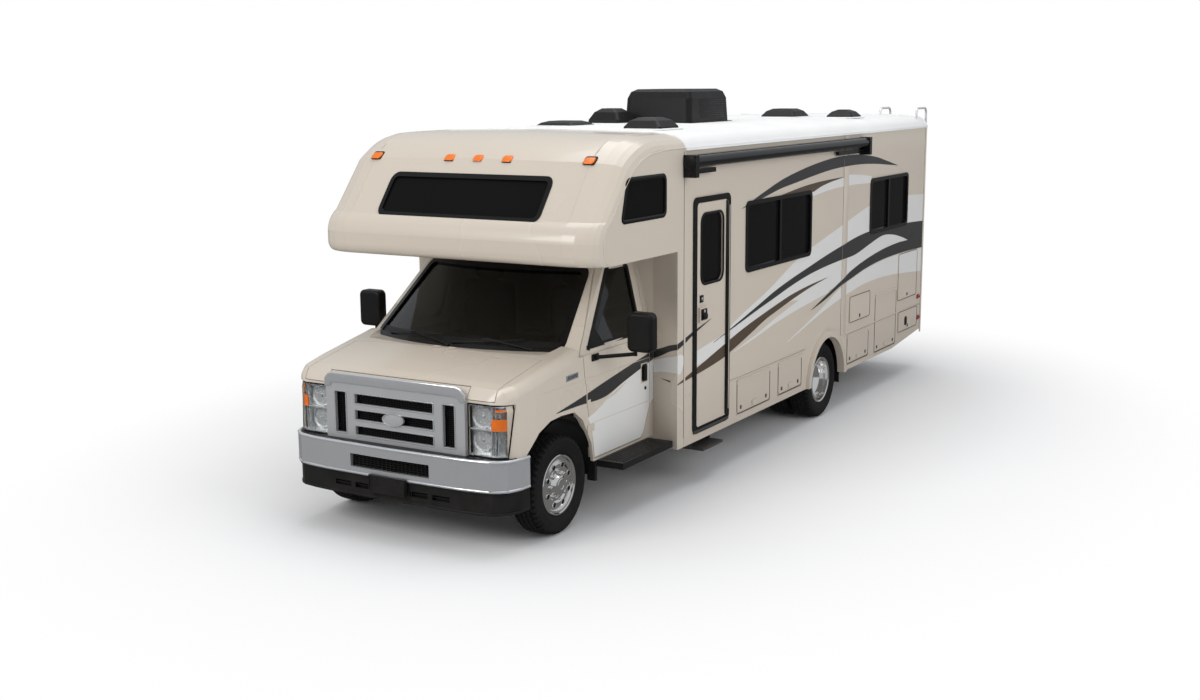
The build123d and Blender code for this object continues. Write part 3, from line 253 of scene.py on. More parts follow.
FINISHED_NODES: tuple[tuple[Finish, str], ...] = (
    (FRAME_STEEL, "frame_rails rear_bumper"),
    (CAST, "engine_block driveline front_axle rear_axle knuckle"), (EXHAUST, "exhaust"),
    (TANK, "tanks"),
    (BEIGE_PAINT, "cab_body front_cap arch_flares hood cab_door_left cab_door_right"),
    (CAB_GLASS, "windscreen cab_door_glass_left cab_door_glass_right"), (SATIN, "grille"),
    (REFLECTOR, "headlamps"), (CHROME, "front_bumper"),
    (BLACK_PLASTIC, "front_valance running_boards roof_ac roof_vents mirror_left mirror_right"),
    (SEAT_CLOTH, "seats"), (DASH, "dashboard"),
    (BEIGE_SKIN, "wall_left wall_right wall_rear service_lids entry_door bay"), (MEMBRANE, "roof"),
    (FLOOR_BOARD, "floor"), (BAY_LINER, "baggage_bays"),
    (BLACK_GLOSS, "window_frames entry_frame awning"), (DARK_GLASS, "coach_glass entry_door_glass"),
    (STEP_METAL, "entry_step"), (LADDER_TUBE, "ladder"), (AMBER, "lamps"),
    (POLISHED, "wheel wheels"), (RUBBER, "tyre tyres"))
NODE_FINISHES = {name: finish for finish, names in FINISHED_NODES for name in names.split()}


# ---------------------------------------------------------------- making pieces
class Face(Enum):
    """The way a flat outline looks: its two coordinates, then the one it stands at."""

    SIDE = (1, 2, 0)
    FRONT = (0, 2, 1)

    def point(self, first: float, second: float, level: float) -> Vector:
        """The place of a point of the outline, with stations measured back from the front axle.

        Args:
            first: its first coordinate.
            second: its second coordinate.
            level: where the outline stands.

        Returns:
            The place.
        """
        where = Vector((0.0, 0.0, 0.0))
        for axis, value in zip(self.value, (first, second, level)):
            where[axis] = value
        where.y += FRONT_AXLE_Y
        return where

    def normal(self) -> Vector:
        """The unit direction that the level is measured along."""
        return Vector([float(axis == self.value[2]) for axis in range(3)])


def rect(left: float, right: float, low: float, high: float) -> Outline:
    """The corners of a rectangle."""
    return (left, low), (right, low), (right, high), (left, high)


def along(points: Outline, station: float) -> float:
    """The height of a smooth line through points, at a station.

    Args:
        points: (station, height) pairs in rising order.
        station: where the height is wanted.

    Returns:
        The height, held level past both ends.
    """
    if station <= points[0][0]:
        return points[0][1]
    for index in range(len(points) - 1):
        (x0, z0), (x1, z1) = points[index], points[index + 1]
        if station <= x1:
            before = points[index - 1] if index else (x0, z0)
            after = points[index + 2] if index + 2 < len(points) else (x1, z1)
            span = x1 - x0
            slope0 = (z1 - before[1]) / (x1 - before[0])
            slope1 = (after[1] - z0) / (after[0] - x0)
            t = (station - x0) / span
            return ((2 * t ** 3 - 3 * t ** 2 + 1) * z0 + (t ** 3 - 2 * t ** 2 + t) * span * slope0
                    + (3 * t ** 2 - 2 * t ** 3) * z1 + (t ** 3 - t ** 2) * span * slope1)
    return points[-1][1]


def add_box(bm: Mesh, xs: Pair, ys: Pair, zs: Pair) -> None:
    """Adds a box between two x, two stations and two heights.

    Args:
        bm: the mesh it joins.
        xs: its two sides.
        ys: its front and rear station.
        zs: its bottom and top.
    """
    verts = bmesh.ops.create_cube(bm, size=1.0)["verts"]
    size = Vector((abs(xs[1] - xs[0]), abs(ys[1] - ys[0]), abs(zs[1] - zs[0])))
    bmesh.ops.scale(bm, vec=size, verts=verts)
    middle = Vector((sum(xs) / 2, sum(ys) / 2 + FRONT_AXLE_Y, sum(zs) / 2))
    bmesh.ops.translate(bm, vec=middle, verts=verts)


def add_rod(bm: Mesh, start: Triple, end: Triple, radius: float, tip: float | None = None,
            sides: int = 20) -> None:
    """Adds a round bar or a cone between two points given with stations.

    Args:
        bm: the mesh it joins.
        start: centre of its first end.
        end: centre of its last end.
        radius: its radius at the start.
        tip: its radius at the end, or None for the same.
        sides: how many flats go round it.
    """
    first, last = Vector(start), Vector(end)
    first.y += FRONT_AXLE_Y
    last.y += FRONT_AXLE_Y
    way = last - first
    turn = way.to_track_quat("Z", "Y").to_matrix().to_4x4()
    place = Matrix.Translation((first + last) / 2) @ turn
    bmesh.ops.create_cone(bm, cap_ends=True, segments=sides, radius1=radius,
                          radius2=radius if tip is None else tip, depth=way.length, matrix=place)


def add_outline(bm: Mesh, face: Face, points: Outline, level: float, rounding: float = 0.0,
                segments: int = 5) -> bmesh.types.BMFace:
    """Adds a flat face with rounded corners.

    Args:
        bm: the mesh it joins.
        face: the way the face looks.
        points: its corners.
        level: where it stands.
        rounding: the radius of its corners.
        segments: how many edges round a corner.

    Returns:
        The face.
    """
    others = set(bm.faces)
    corners = [bm.verts.new(face.point(a, b, level)) for a, b in points]
    made = bm.faces.new(corners)
    if rounding:
        bmesh.ops.bevel(bm, geom=corners + list(made.edges), offset=rounding, offset_type="OFFSET",
                        affect="VERTICES", segments=segments, profile=0.5, material=-1)
        made = max((f for f in bm.faces if f not in others), key=lambda f: f.calc_area())
    return made


def thicken(bm: Mesh, faces: Iterable[bmesh.types.BMFace], way: Vector) -> None:
    """Extrudes faces into a solid.

    Args:
        bm: the mesh they are in.
        faces: the faces, which stay as its back.
        way: how far and which way the new faces move.
    """
    made = bmesh.ops.extrude_face_region(bm, geom=list(faces), use_keep_orig=True)["geom"]
    moved = [item for item in made if isinstance(item, bmesh.types.BMVert)]
    bmesh.ops.translate(bm, vec=way, verts=moved)


def add_plate(bm: Mesh, face: Face, points: Outline, level: float, depth: float,
              rounding: float = 0.0) -> None:
    """Adds a flat plate with rounded corners.

    Args:
        bm: the mesh it joins.
        face: the way the plate looks.
        points: its corners.
        level: where its first side stands.
        depth: how far its other side is from the first.
        rounding: the radius of its corners.
    """
    thicken(bm, [add_outline(bm, face, points, level, rounding)], face.normal() * depth)


def cut_at(bm: Mesh, axis: int, value: float) -> None:
    """Cuts a mesh across an axis at a value.

    Args:
        bm: the mesh.
        axis: which axis.
        value: where it is cut.
    """
    place, normal = Vector((0.0, 0.0, 0.0)), Vector((0.0, 0.0, 0.0))
    place[axis], normal[axis] = value, 1.0
    bmesh.ops.bisect_plane(bm, geom=bm.verts[:] + bm.edges[:] + bm.faces[:], dist=1e-6,
                           plane_co=place, plane_no=normal)


def soften(bm: Mesh, width: float, segments: int = 2, angle: float = 30.0) -> None:
    """Rounds every edge that is sharper than an angle.

    Args:
        bm: the mesh.
        width: the width of the rounding.
        segments: how many faces go round an edge.
        angle: the angle in degrees past which an edge is rounded.
    """
    limit = math.radians(angle)
    sharp = [e for e in bm.edges if len(e.link_faces) == 2 and e.calc_face_angle(0.0) > limit]
    bmesh.ops.bevel(bm, geom=sharp, offset=width, offset_type="OFFSET", affect="EDGES",
                    segments=segments, profile=0.5, material=-1, clamp_overlap=True)


@dataclass
class Assembly:
    """A group of pieces that is made in one go.

    Args:
        made: the names of the pieces so far.
    """

    made: list[str] = field(default_factory=list, init=False)

    def build(self) -> None:
        """Makes the pieces."""
        raise NotImplementedError

    def piece(self, name: str, bm: Mesh, finish: Finish, body: str = COACH, crease: float = 35.0,
              recalc: bool = True) -> bpy.types.Object:
        """Turns a mesh into a piece that rides on a body.

        Args:
            name: the piece's name.
            bm: its mesh, which is used up.
            finish: what covers it.
            body: the body it rides on.
            crease: edges sharper than this stay sharp, in degrees.
            recalc: whether its faces are turned outwards.

        Returns:
            The piece.
        """
        if recalc:
            bmesh.ops.recalc_face_normals(bm, faces=bm.faces)
        mesh = bpy.data.meshes.new(name)
        bm.to_mesh(mesh)
        bm.free()
        mesh.shade_smooth()
        mesh.set_sharp_from_angle(angle=math.radians(crease))
        mesh.materials.append(finish.material())
        made = bpy.data.objects.new(name, mesh)
        bpy.context.scene.collection.objects.link(made)
        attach(made, body)
        self.made.append(name)
        return made


def dress_nodes(frame: dict) -> None:
    """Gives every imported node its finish.

    Args:
        frame: the loaded frame.
    """
    for name, node in frame["nodes"].items():
        finish = NODE_FINISHES.get(name) or NODE_FINISHES[name.split("_")[0]]
        for entry in node.material_slots:
            entry.material = finish.material()


# ---------------------------------------------------------------- curved surfaces
@dataclass(frozen=True)
class ScreenShape:
    """The curved, leaning surface of the windscreen, known between two heights."""

    low: float = 1.28
    rise: float = 0.69
    centre: Pair = (-0.035, 0.829)
    pillar_x: Pair = (0.9, -0.155)
    pillar_y: Pair = (0.19, 0.775)

    def point(self, x: float, z: float, lift: float) -> Vector:
        """The place on the surface at an x and a height, lifted off it.

        Args:
            x: distance to the side of the middle.
            z: the height.
            lift: distance off the surface.

        Returns:
            The place.
        """
        share = (z - self.low) / self.rise
        centre = self.centre[0] + self.centre[1] * share
        half = self.pillar_x[0] + self.pillar_x[1] * share
        sag = self.pillar_y[0] + self.pillar_y[1] * share - centre
        radius = (half ** 2 + sag ** 2) / (2 * sag)
        station = centre + radius - math.sqrt(max(radius ** 2 - x * x, 0.0))
        normal = Vector((x / radius, -self.rise, self.centre[1])).normalized()
        return Vector((x, station + FRONT_AXLE_Y, z)) + normal * lift


Place = Callable[[float, float, float], Vector]


@dataclass(frozen=True)
class PlanPath:
    """An upright surface that follows a plan line on the +x side.

    Args:
        points: x and station of the line's corners, from the middle outwards.
        crown: height above which the surface turns inwards, and the radius it turns with.
        reach: how far ahead and behind its direction is read.
    """

    points: tuple[Pair, ...]
    crown: Pair = (9.0, 0.08)
    reach: float = 0.012

    @property
    def length(self) -> float:
        """How long the line is."""
        return sum(math.dist(a, b) for a, b in zip(self.points, self.points[1:]))

    def point(self, run: float, z: float, lift: float, side: int = 1) -> Vector:
        """The place at a run along the line and a height, lifted outwards.

        Args:
            run: distance along the line.
            z: the height.
            lift: distance outwards.
            side: 1 for the line's own side, -1 for its mirror image.

        Returns:
            The place.
        """
        x, y = self._plan(run)
        ahead, behind = self._plan(run + self.reach), self._plan(run - self.reach)
        way = Vector((ahead[0] - behind[0], ahead[1] - behind[1])).normalized()
        out = Vector((way.y, -way.x))
        over = min(max(z - self.crown[0], 0.0), self.crown[1] * 0.98)
        tuck = self.crown[1] - math.sqrt(self.crown[1] ** 2 - over ** 2)
        x, y = x + out.x * (lift - tuck), y + out.y * lift
        return Vector((side * x, y + FRONT_AXLE_Y, z))

    def on_side(self, side: int) -> Place:
        """The surface on one side of the vehicle."""
        return lambda run, z, lift: self.point(run, z, lift, side)

    def _plan(self, run: float) -> Pair:
        """The x and station at a run, past the ends in a straight line.

        Args:
            run: distance along the surface.

        Returns:
            Its x and station.
        """
        done = 0.0
        for index, (a, b) in enumerate(zip(self.points, self.points[1:])):
            step = math.dist(a, b)
            if run <= done + step or index == len(self.points) - 2:
                share = (run - done) / step
                return (a[0] + (b[0] - a[0]) * share, a[1] + (b[1] - a[1]) * share)
            done += step
        return self.points[-1]


def slice_up(bm: Mesh, face: Face, step: float) -> None:
    """Cuts a flat mesh across its first direction so that it can be bent.

    Args:
        bm: the mesh.
        face: the way the mesh looks.
        step: the longest a slice may be.
    """
    axis = face.value[0]
    low, high = min(v.co[axis] for v in bm.verts), max(v.co[axis] for v in bm.verts)
    cuts = int((high - low) / step)
    for index in range(1, cuts):
        cut_at(bm, axis, low + (high - low) * index / cuts)


def add_ring(bm: Mesh, face: Face, points: Outline, level: float, width: float, depth: float,
             rounding: float = 0.0) -> None:
    """Adds a flat frame: an outline with its middle left open.

    Args:
        bm: the mesh it joins.
        face: the way it looks.
        points: its outer corners.
        level: where it stands.
        width: how broad the frame is.
        depth: how far it reaches from the level.
        rounding: the radius of its outer corners.
    """
    part = bmesh.new()
    made = add_outline(part, face, points, level, rounding)
    bmesh.ops.inset_region(
        part, faces=[made], thickness=width, use_even_offset=True, use_boundary=True)
    bmesh.ops.delete(part, geom=[made], context="FACES_ONLY")
    if depth:
        thicken(part, part.faces, face.normal() * depth)
    merge_into(bm, part)


def merge_into(bm: Mesh, part: Mesh) -> None:
    """Moves all of one mesh into another and frees it.

    Args:
        bm: the mesh.
        part: the mesh that is used up.
    """
    scrap = bpy.data.meshes.new("scrap")
    part.to_mesh(scrap)
    part.free()
    bm.from_mesh(scrap)
    bpy.data.meshes.remove(scrap)


def add_patch(bm: Mesh, runs: Pair, heights: Pair, place: Place, lifts: Pair,
              steps: tuple[int, int] = (12, 4),
              edge: Callable[[float, float], Pair] | None = None) -> None:
    """Adds a slab that lies on a curved surface.

    Args:
        bm: the mesh it joins.
        runs: where it starts and ends along the surface.
        heights: its bottom and top.
        place: gives the place at a run, a height and a lift.
        lifts: the lift of its inner and its outer side.
        steps: how many faces it has along and up.
        edge: moves a run and a height before they are placed, for slanting edges.
    """
    part = bmesh.new()
    bmesh.ops.create_grid(part, x_segments=steps[0], y_segments=steps[1], size=1.0)
    thicken(part, part.faces, Vector((0.0, 0.0, 1.0)))
    for vert in part.verts:
        run = runs[0] + (runs[1] - runs[0]) * (vert.co.x + 1) / 2
        height = heights[0] + (heights[1] - heights[0]) * (vert.co.y + 1) / 2
        if edge:
            run, height = edge(run, height)
        vert.co = place(run, height, lifts[1] if vert.co.z > 0.5 else lifts[0])
    merge_into(bm, part)


def lean(bm: Mesh, slope: Triple, sink: float) -> None:
    """Tips a flat front mesh back onto a leaning surface, its depth turning forwards.

    Args:
        bm: the mesh.
        slope: the surface's station at a height, that height, and the station's gain per metre up.
        sink: how far the mesh is let into the surface.
    """
    for vert in bm.verts:
        station = slope[0] + (vert.co.z - slope[1]) * slope[2]
        vert.co.y = 2 * FRONT_AXLE_Y + station + sink - vert.co.y


def add_tube(bm: Mesh, points: Sequence[Vector], radius: float, closed: bool = False,
             sides: int = 3) -> None:
    """Adds a round bead that runs through points.

    Args:
        bm: the mesh it joins.
        points: the places it runs through.
        radius: its radius.
        closed: whether it joins up with its start.
        sides: how finely it is rounded.
    """
    curve = bpy.data.curves.new("bead", "CURVE")
    curve.dimensions = "3D"
    curve.bevel_depth = radius
    curve.bevel_resolution = sides
    curve.use_fill_caps = True
    line = curve.splines.new("POLY")
    line.points.add(len(points) - 1)
    for spot, where in zip(line.points, points):
        spot.co = (*where, 1.0)
    line.use_cyclic_u = closed
    holder = bpy.data.objects.new("bead", curve)
    mesh = bpy.data.meshes.new_from_object(holder)
    bpy.data.objects.remove(holder)
    bpy.data.curves.remove(curve)
    bm.from_mesh(mesh)
    bpy.data.meshes.remove(mesh)


def add_spun(bm: Mesh, profile: Outline, centre: Triple, way: Vector, steps: int = 48) -> None:
    """Adds a turned shape.

    Args:
        bm: the mesh it joins.
        profile: (distance along the axis, radius) points.
        centre: the axis's zero point, with a station.
        way: the axis's direction.
        steps: how many faces go round it.
    """
    part = bmesh.new()
    turn = way.normalized().to_track_quat("Z", "Y").to_matrix().to_4x4()
    place = Matrix.Translation(Vector(centre) + Vector((0.0, FRONT_AXLE_Y, 0.0))) @ turn
    verts = [part.verts.new((radius, 0.0, along_axis)) for along_axis, radius in profile]
    edges = [part.edges.new(pair) for pair in zip(verts, verts[1:])]
    bmesh.ops.spin(part, geom=verts + edges, cent=(0, 0, 0), axis=(0, 0, 1), angle=2 * math.pi,
                   steps=steps, use_merge=True)
    bmesh.ops.remove_doubles(part, verts=part.verts, dist=1e-5)
    bmesh.ops.transform(part, matrix=place, verts=part.verts)
    merge_into(bm, part)


# ---------------------------------------------------------------- graphics
Span = tuple[float, float, float, float]


@dataclass(frozen=True)
class Surface:
    """A flat upright surface that film is laid on.

    Args:
        start: x and station where the run starts.
        end: x and station where the run ends.
        run: the run's value at the start and at the end.
        out: x and y of the direction it faces.
    """

    start: Pair
    end: Pair
    run: Pair
    out: Pair

    def point(self, run: float, height: float, lift: float) -> Vector:
        """The place of a point at a run and a height, lifted off the surface.

        Args:
            run: distance along the surface.
            height: the height.
            lift: distance off the surface.

        Returns:
            The place.
        """
        share = (run - self.run[0]) / (self.run[1] - self.run[0])
        x = self.start[0] + share * (self.end[0] - self.start[0]) + self.out[0] * lift
        y = self.start[1] + share * (self.end[1] - self.start[1]) + self.out[1] * lift
        return Vector((x, y + FRONT_AXLE_Y, height))


@dataclass(frozen=True)
class Band:
    """A band of film between two smooth lines of (run, height) points."""

    finish: Finish
    top: Outline
    bottom: Outline
    lift: float = 0.0

    def lay(self, bm: Mesh, surface: Surface, keep: Span, holes: Sequence[Span]) -> None:
        """Adds the part of the band that falls on a surface.

        Args:
            bm: the mesh it joins.
            surface: what it lies on.
            keep: run and height limits of that surface.
            holes: run and height limits of what interrupts the surface.
        """
        start, end = max(self.top[0][0], keep[0]), min(self.top[-1][0], keep[1])
        if end - start < 0.004:
            return
        flat = bmesh.new()
        steps = max(6, int((end - start) / 0.05))
        for vert in bmesh.ops.create_grid(flat, x_segments=steps, y_segments=1, size=1.0)["verts"]:
            run = start + (end - start) * (vert.co.x + 1) / 2
            line = self.top if vert.co.y > 0 else self.bottom
            vert.co = (run, min(max(along(line, run), keep[2]), keep[3]), 0.0)
        bmesh.ops.remove_doubles(flat, verts=flat.verts, dist=1e-5)
        for hole in holes:
            self._cut(flat, hole)
        bmesh.ops.dissolve_degenerate(flat, dist=1e-5, edges=flat.edges)
        thicken(flat, flat.faces, Vector((0.0, 0.0, FILM_THICKNESS)))
        for vert in flat.verts:
            vert.co = surface.point(vert.co.x, vert.co.y, self.lift + vert.co.z)
        merge_into(bm, flat)

    @staticmethod
    def _cut(flat: Mesh, hole: Span) -> None:
        """Cuts a rectangle out of a flat film.

        Args:
            flat: the film before it is laid.
            hole: run and height limits of the rectangle.
        """
        for index, value in enumerate(hole):
            cut_at(flat, index // 2, value)
        inside = [f for f in flat.faces if hole[0] < f.calc_center_median().x < hole[1]
                  and hole[2] < f.calc_center_median().y < hole[3]]
        bmesh.ops.delete(flat, geom=inside, context="FACES")


FILM_THICKNESS = 0.0009
UNDER, NEXT, OVER, TOPMOST, LAST = 0.0, 0.0003, 0.0007, 0.0014, 0.0018
MAIN_TOP = ((1.95, 1.152), (2.25, 1.21), (2.8, 1.33), (3.2, 1.42), (3.6, 1.49), (4.0, 1.55),
            (4.4, 1.61), (4.83, 1.665), (5.2, 1.71), (5.57, 1.735), (6.2, 1.742), (6.8, 1.722),
            (7.318, 1.7))
MAIN_BOTTOM = ((1.95, 1.148), (2.4, 1.225), (2.8, 1.295), (3.2, 1.36), (3.6, 1.425), (4.0, 1.475),
               (4.4, 1.505), (4.83, 1.525), (5.2, 1.537), (5.6, 1.6), (6.0, 1.655), (6.3, 1.638),
               (6.6, 1.585), (6.86, 1.522), (7.0, 1.49), (7.318, 1.42))
SECOND_TOP = ((4.06, 1.127), (4.4, 1.21), (4.83, 1.315), (5.1, 1.385), (5.5, 1.452), (6.0, 1.507),
              (6.5, 1.531), (6.86, 1.527), (7.318, 1.5))
SECOND_BOTTOM = ((4.06, 1.124), (4.4, 1.178), (4.83, 1.268), (5.1, 1.305), (5.5, 1.36),
                 (6.0, 1.398), (6.6, 1.41), (7.318, 1.4))
UPPER_WHITE_TOP = (
    (2.15, 1.2), (2.6, 1.33), (3.0, 1.43), (3.2, 1.49), (3.6, 1.62), (4.0, 1.715), (4.4, 1.79),
    (4.85, 1.87), (5.3, 1.955), (5.6, 2.0), (6.2, 2.03), (6.8, 2.025), (7.318, 2.0))
MID_WHITE_BOTTOM = (
    (1.585, 1.0), (2.0, 1.04), (2.6, 1.14), (3.0, 1.215), (3.3, 1.255), (3.6, 1.275), (4.0, 1.245),
    (4.4, 1.25), (4.83, 1.295), (5.3, 1.38), (5.8, 1.44), (6.4, 1.48), (6.86, 1.5))
MID_WHITE_TOP = ((1.585, 1.12), (1.9, 1.16), (2.25, 1.205), (2.8, 1.32), (3.4, 1.45), (4.0, 1.53),
                 (4.83, 1.62), (5.6, 1.66), (6.3, 1.67), (6.86, 1.55))
SIDE_BANDS: tuple[Band, ...] = (
    Band(CHARCOAL_FILM, ((2.48, 2.214), (2.9, 2.315), (3.3, 2.402), (3.7, 2.462), (4.1, 2.507),
                         (4.5, 2.537), (4.85, 2.547), (5.3, 2.537), (5.75, 2.492), (6.1, 2.432),
                         (6.42, 2.374)),
         ((2.48, 2.212), (2.9, 2.272), (3.3, 2.33), (3.7, 2.366), (4.1, 2.402), (4.5, 2.43),
          (4.85, 2.441), (5.3, 2.441), (5.75, 2.422), (6.1, 2.395), (6.42, 2.371)), OVER),
    Band(BROWN_FILM, ((3.3, 2.27), (3.7, 2.305), (4.0, 2.325), (4.4, 2.337), (4.83, 2.341)),
         ((3.3, 2.262), (3.7, 2.262), (4.02, 2.245), (4.25, 2.286), (4.5, 2.315), (4.83, 2.337)),
         OVER),
    Band(WHITE_FILM, ((4.02, 2.247), (4.3, 2.291), (4.85, 2.34), (4.98, 2.353), (5.3, 2.335),
                      (5.62, 2.303)),
         ((4.02, 2.205), (4.4, 2.235), (4.85, 2.25), (5.62, 2.235)), UNDER),
    Band(WHITE_FILM, UPPER_WHITE_TOP, MAIN_TOP[1:], UNDER),
    Band(CHARCOAL_FILM, MAIN_TOP, MAIN_BOTTOM, OVER),
    Band(WHITE_FILM, MID_WHITE_TOP, MID_WHITE_BOTTOM, UNDER),
    Band(CHARCOAL_FILM, SECOND_TOP, SECOND_BOTTOM, TOPMOST),
    Band(CHARCOAL_FILM, ((6.86, 1.53), (7.0, 1.6), (7.318, 1.6)),
         ((6.86, 1.515), (7.0, 1.45), (7.318, 1.42)), LAST),
    Band(WHITE_FILM, ((2.35, 1.008), (2.8, 1.085), (3.2, 1.165), (3.6, 1.235), (4.0, 1.3),
                      (4.5, 1.33)),
         ((2.35, 1.002), (2.8, 1.06), (3.2, 1.12), (3.6, 1.165), (4.0, 1.2), (4.5, 1.24)), NEXT),
    Band(BROWN_FILM, ((1.311, 0.91), (1.5, 0.955), (1.7, 1.0), (2.2, 1.11), (2.6, 1.19),
                      (3.0, 1.255), (3.3, 1.3), (3.6, 1.34), (4.0, 1.372), (4.45, 1.393)),
         ((1.311, 0.903), (1.6, 0.93), (2.0, 0.97), (2.2, 1.0), (2.6, 1.09), (3.0, 1.19),
          (3.2, 1.225), (3.6, 1.29), (4.0, 1.345), (4.45, 1.39)), OVER),
    Band(WHITE_FILM, ((3.5, 0.908), (4.0, 1.025), (4.4, 1.125), (4.83, 1.25), (5.1, 1.295),
                      (5.5, 1.35), (6.0, 1.388), (6.6, 1.4), (7.318, 1.39)),
         ((3.5, 0.902), (4.0, 1.0), (4.5, 1.09), (5.0, 1.16), (5.5, 1.205), (6.0, 1.21),
          (6.5, 1.19), (7.318, 1.13)), UNDER),
    Band(CHARCOAL_FILM, ((1.312, 1.236), (1.45, 1.266), (1.6, 1.302), (1.9, 1.358)),
         ((1.312, 1.19), (1.45, 1.225), (1.6, 1.276), (1.9, 1.355)), OVER),
    Band(WHITE_FILM, ((1.315, 1.14), (1.36, 1.145), (1.42, 1.12)),
         ((1.315, 1.0), (1.36, 0.985), (1.42, 1.06)), UNDER))
CAB_BANDS: tuple[Band, ...] = (
    Band(WHITE_FILM, ((0.366, 0.8), (0.5, 0.835), (0.62, 0.88), (0.75, 0.93), (0.9, 0.975),
                      (1.05, 1.01), (1.2, 1.045), (1.396, 1.075)),
         ((0.366, 0.8), (0.385, 0.79), (0.44, 0.665), (0.464, 0.482), (1.2, 0.482), (1.26, 0.585),
          (1.329, 0.71), (1.396, 0.76)), UNDER),
    Band(BEIGE_PAINT, ((0.66, 0.893), (0.8, 0.935), (0.95, 0.972)),
         ((0.66, 0.889), (0.8, 0.915), (0.95, 0.969)), OVER),
    Band(CHARCOAL_FILM, ((-0.07, 0.927), (0.3, 0.98), (0.6, 1.03), (0.9, 1.077), (1.3, 1.137),
                         (1.396, 1.152)),
         ((-0.07, 0.924), (0.25, 0.922), (0.62, 0.917), (0.9, 0.977), (1.3, 1.062), (1.396, 1.082)),
         OVER))
CORNER_BANDS: tuple[Band, ...] = (
    Band(CHARCOAL_FILM, ((1.003, 1.155), (1.1, 1.185), (1.18, 1.215), (1.263, 1.236)),
         ((1.003, 1.085), (1.1, 1.125), (1.18, 1.165), (1.263, 1.19)), OVER),
    Band(WHITE_FILM, ((1.003, 1.07), (1.1, 1.1), (1.263, 1.14)),
         ((1.003, 0.97), (1.1, 0.99), (1.263, 1.0)), UNDER),
    Band(BROWN_FILM, ((1.09, 0.935), (1.19, 0.93)), ((1.09, 0.932), (1.19, 0.915)), OVER))
SIDE_WINDOWS: tuple[tuple[int, float, float, float, float, float], ...] = (
    (1, 2.56, 4.02, 1.655, 2.27, 3.3), (1, 5.59, 6.77, 1.7, 2.28, 6.16),
    (-1, 1.76, 2.76, 1.655, 2.27, 2.26), (-1, 3.2, 4.3, 1.655, 2.27, 3.75),
    (-1, 5.59, 6.77, 1.7, 2.28, 6.16))
SERVICE_LIDS: tuple[tuple[int, float, float, float, float], ...] = (
    (1, 5.06, 5.65, 0.85, 1.12), (1, 6.52, 7.15, 0.88, 1.4), (1, 6.56, 7.2, 0.52, 0.75),
    (-1, 6.4, 7.0, 0.9, 1.35))
ENTRY_FRAME: Span = (1.57, 2.25, 0.44, 2.37)
TRIM_STRIP: Pair = (4.84, 4.97)
BELT_RUNS: tuple[Triple, ...] = ((2.262, 3.93, 0.775), (4.99, 7.32, 0.755))


@dataclass
class Graphics(Assembly):
    """The film bands on the coach's sides, the entry door, the lids and the cab."""

    leaf_x: float = 1.268
    strip_x: float = 1.2685
    cab_x: float = 1.0
    hinge_gap: Pair = (0.353, 0.371)
    window_lap: float = 0.01

    def build(self) -> None:
        """Lays the bands on both sides."""
        for side, name in SIDES:
            self._coach_side(side, name)
            self._cab_side(side, name)

    def _flat(self, side: int, level: float, run: Pair = (1.31, 7.32)) -> Surface:
        """An upright surface along the coach at an x level."""
        return Surface((side * level, run[0]), (side * level, run[1]), run, (side, 0.0))

    def _lay(self, name: str, body: str, bands: Sequence[Band],
             places: Sequence[tuple[Surface, Span, Sequence[Span]]]) -> None:
        """Makes one piece per film colour of all the bands on some surfaces.

        Args:
            name: the end of the pieces' names.
            body: the body they ride on.
            bands: the bands.
            places: surfaces with their limits and holes.
        """
        for finish in (WHITE_FILM, CHARCOAL_FILM, BROWN_FILM, BEIGE_PAINT):
            bm = bmesh.new()
            for band in bands:
                if band.finish is finish:
                    for surface, keep, holes in places:
                        band.lay(bm, surface, keep, holes)
            if bm.faces:
                self.piece(f"{finish.name}_{name}", bm, finish, body, recalc=False)
            else:
                bm.free()

    def _coach_side(self, side: int, name: str) -> None:
        """Lays the bands on one side of the coach.

        Args:
            side: 1 for the left, -1 for the right.
            name: the side's name.
        """
        lap = self.window_lap
        windows = [(y0 + lap, y1 - lap, z0 + lap, z1 - lap)
                   for way, y0, y1, z0, z1, _ in SIDE_WINDOWS if way == side]
        lids = [lid[1:] for lid in SERVICE_LIDS if lid[0] == side]
        doors = [ENTRY_FRAME] if side > 0 else []
        wall = (self._flat(side, WALL_X), (1.31, 7.318, 0.4, 2.7), windows + lids + doors)
        covers = [(self._flat(side, LID_X), lid, ()) for lid in lids]
        self._lay(f"wall_{name}", COACH, SIDE_BANDS, [wall, *covers])
        strip = (self._flat(side, self.strip_x), (TRIM_STRIP[0], TRIM_STRIP[1], 0.8, 2.7), ())
        charcoal = [band for band in SIDE_BANDS if band.finish is CHARCOAL_FILM]
        self._lay(f"strip_{name}", COACH, charcoal, [strip])
        corner = Surface((side * 1.0, 1.4), (side * WALL_X, 1.31), (1.0, 1.265),
                         (-side * 0.32, -0.947))
        self._lay(f"corner_{name}", COACH, CORNER_BANDS, [(corner, (1.003, 1.263, 0.4, 1.9), ())])
        if side > 0:
            leaf = (self._flat(side, self.leaf_x), (1.643, 2.166, 0.5, 2.31),
                    [(1.715, 2.115, 1.665, 2.225), (1.65, 1.79, 1.355, 1.485)])
            self._lay("entry_door", "entry_door", SIDE_BANDS, [leaf])

    def _cab_side(self, side: int, name: str) -> None:
        """Lays the bands on one side of the cab, split at the door's gaps.

        Args:
            side: 1 for the left, -1 for the right.
            name: the side's name.
        """
        flat = self._flat(side, self.cab_x, (-0.4, 1.4))
        body = (flat, (-0.3, self.hinge_gap[0], 0.86, 1.24), ())
        post = (flat, (1.337, 1.398, 0.7, 1.24), ())
        door = (flat, (self.hinge_gap[1], 1.329, 0.48, 1.27), [(1.19, 1.3, 0.915, 1.075)])
        self._lay(f"cab_{name}", COACH, CAB_BANDS, [body, post])
        self._lay(f"cab_door_{name}", f"cab_door_{name}", CAB_BANDS, [door])


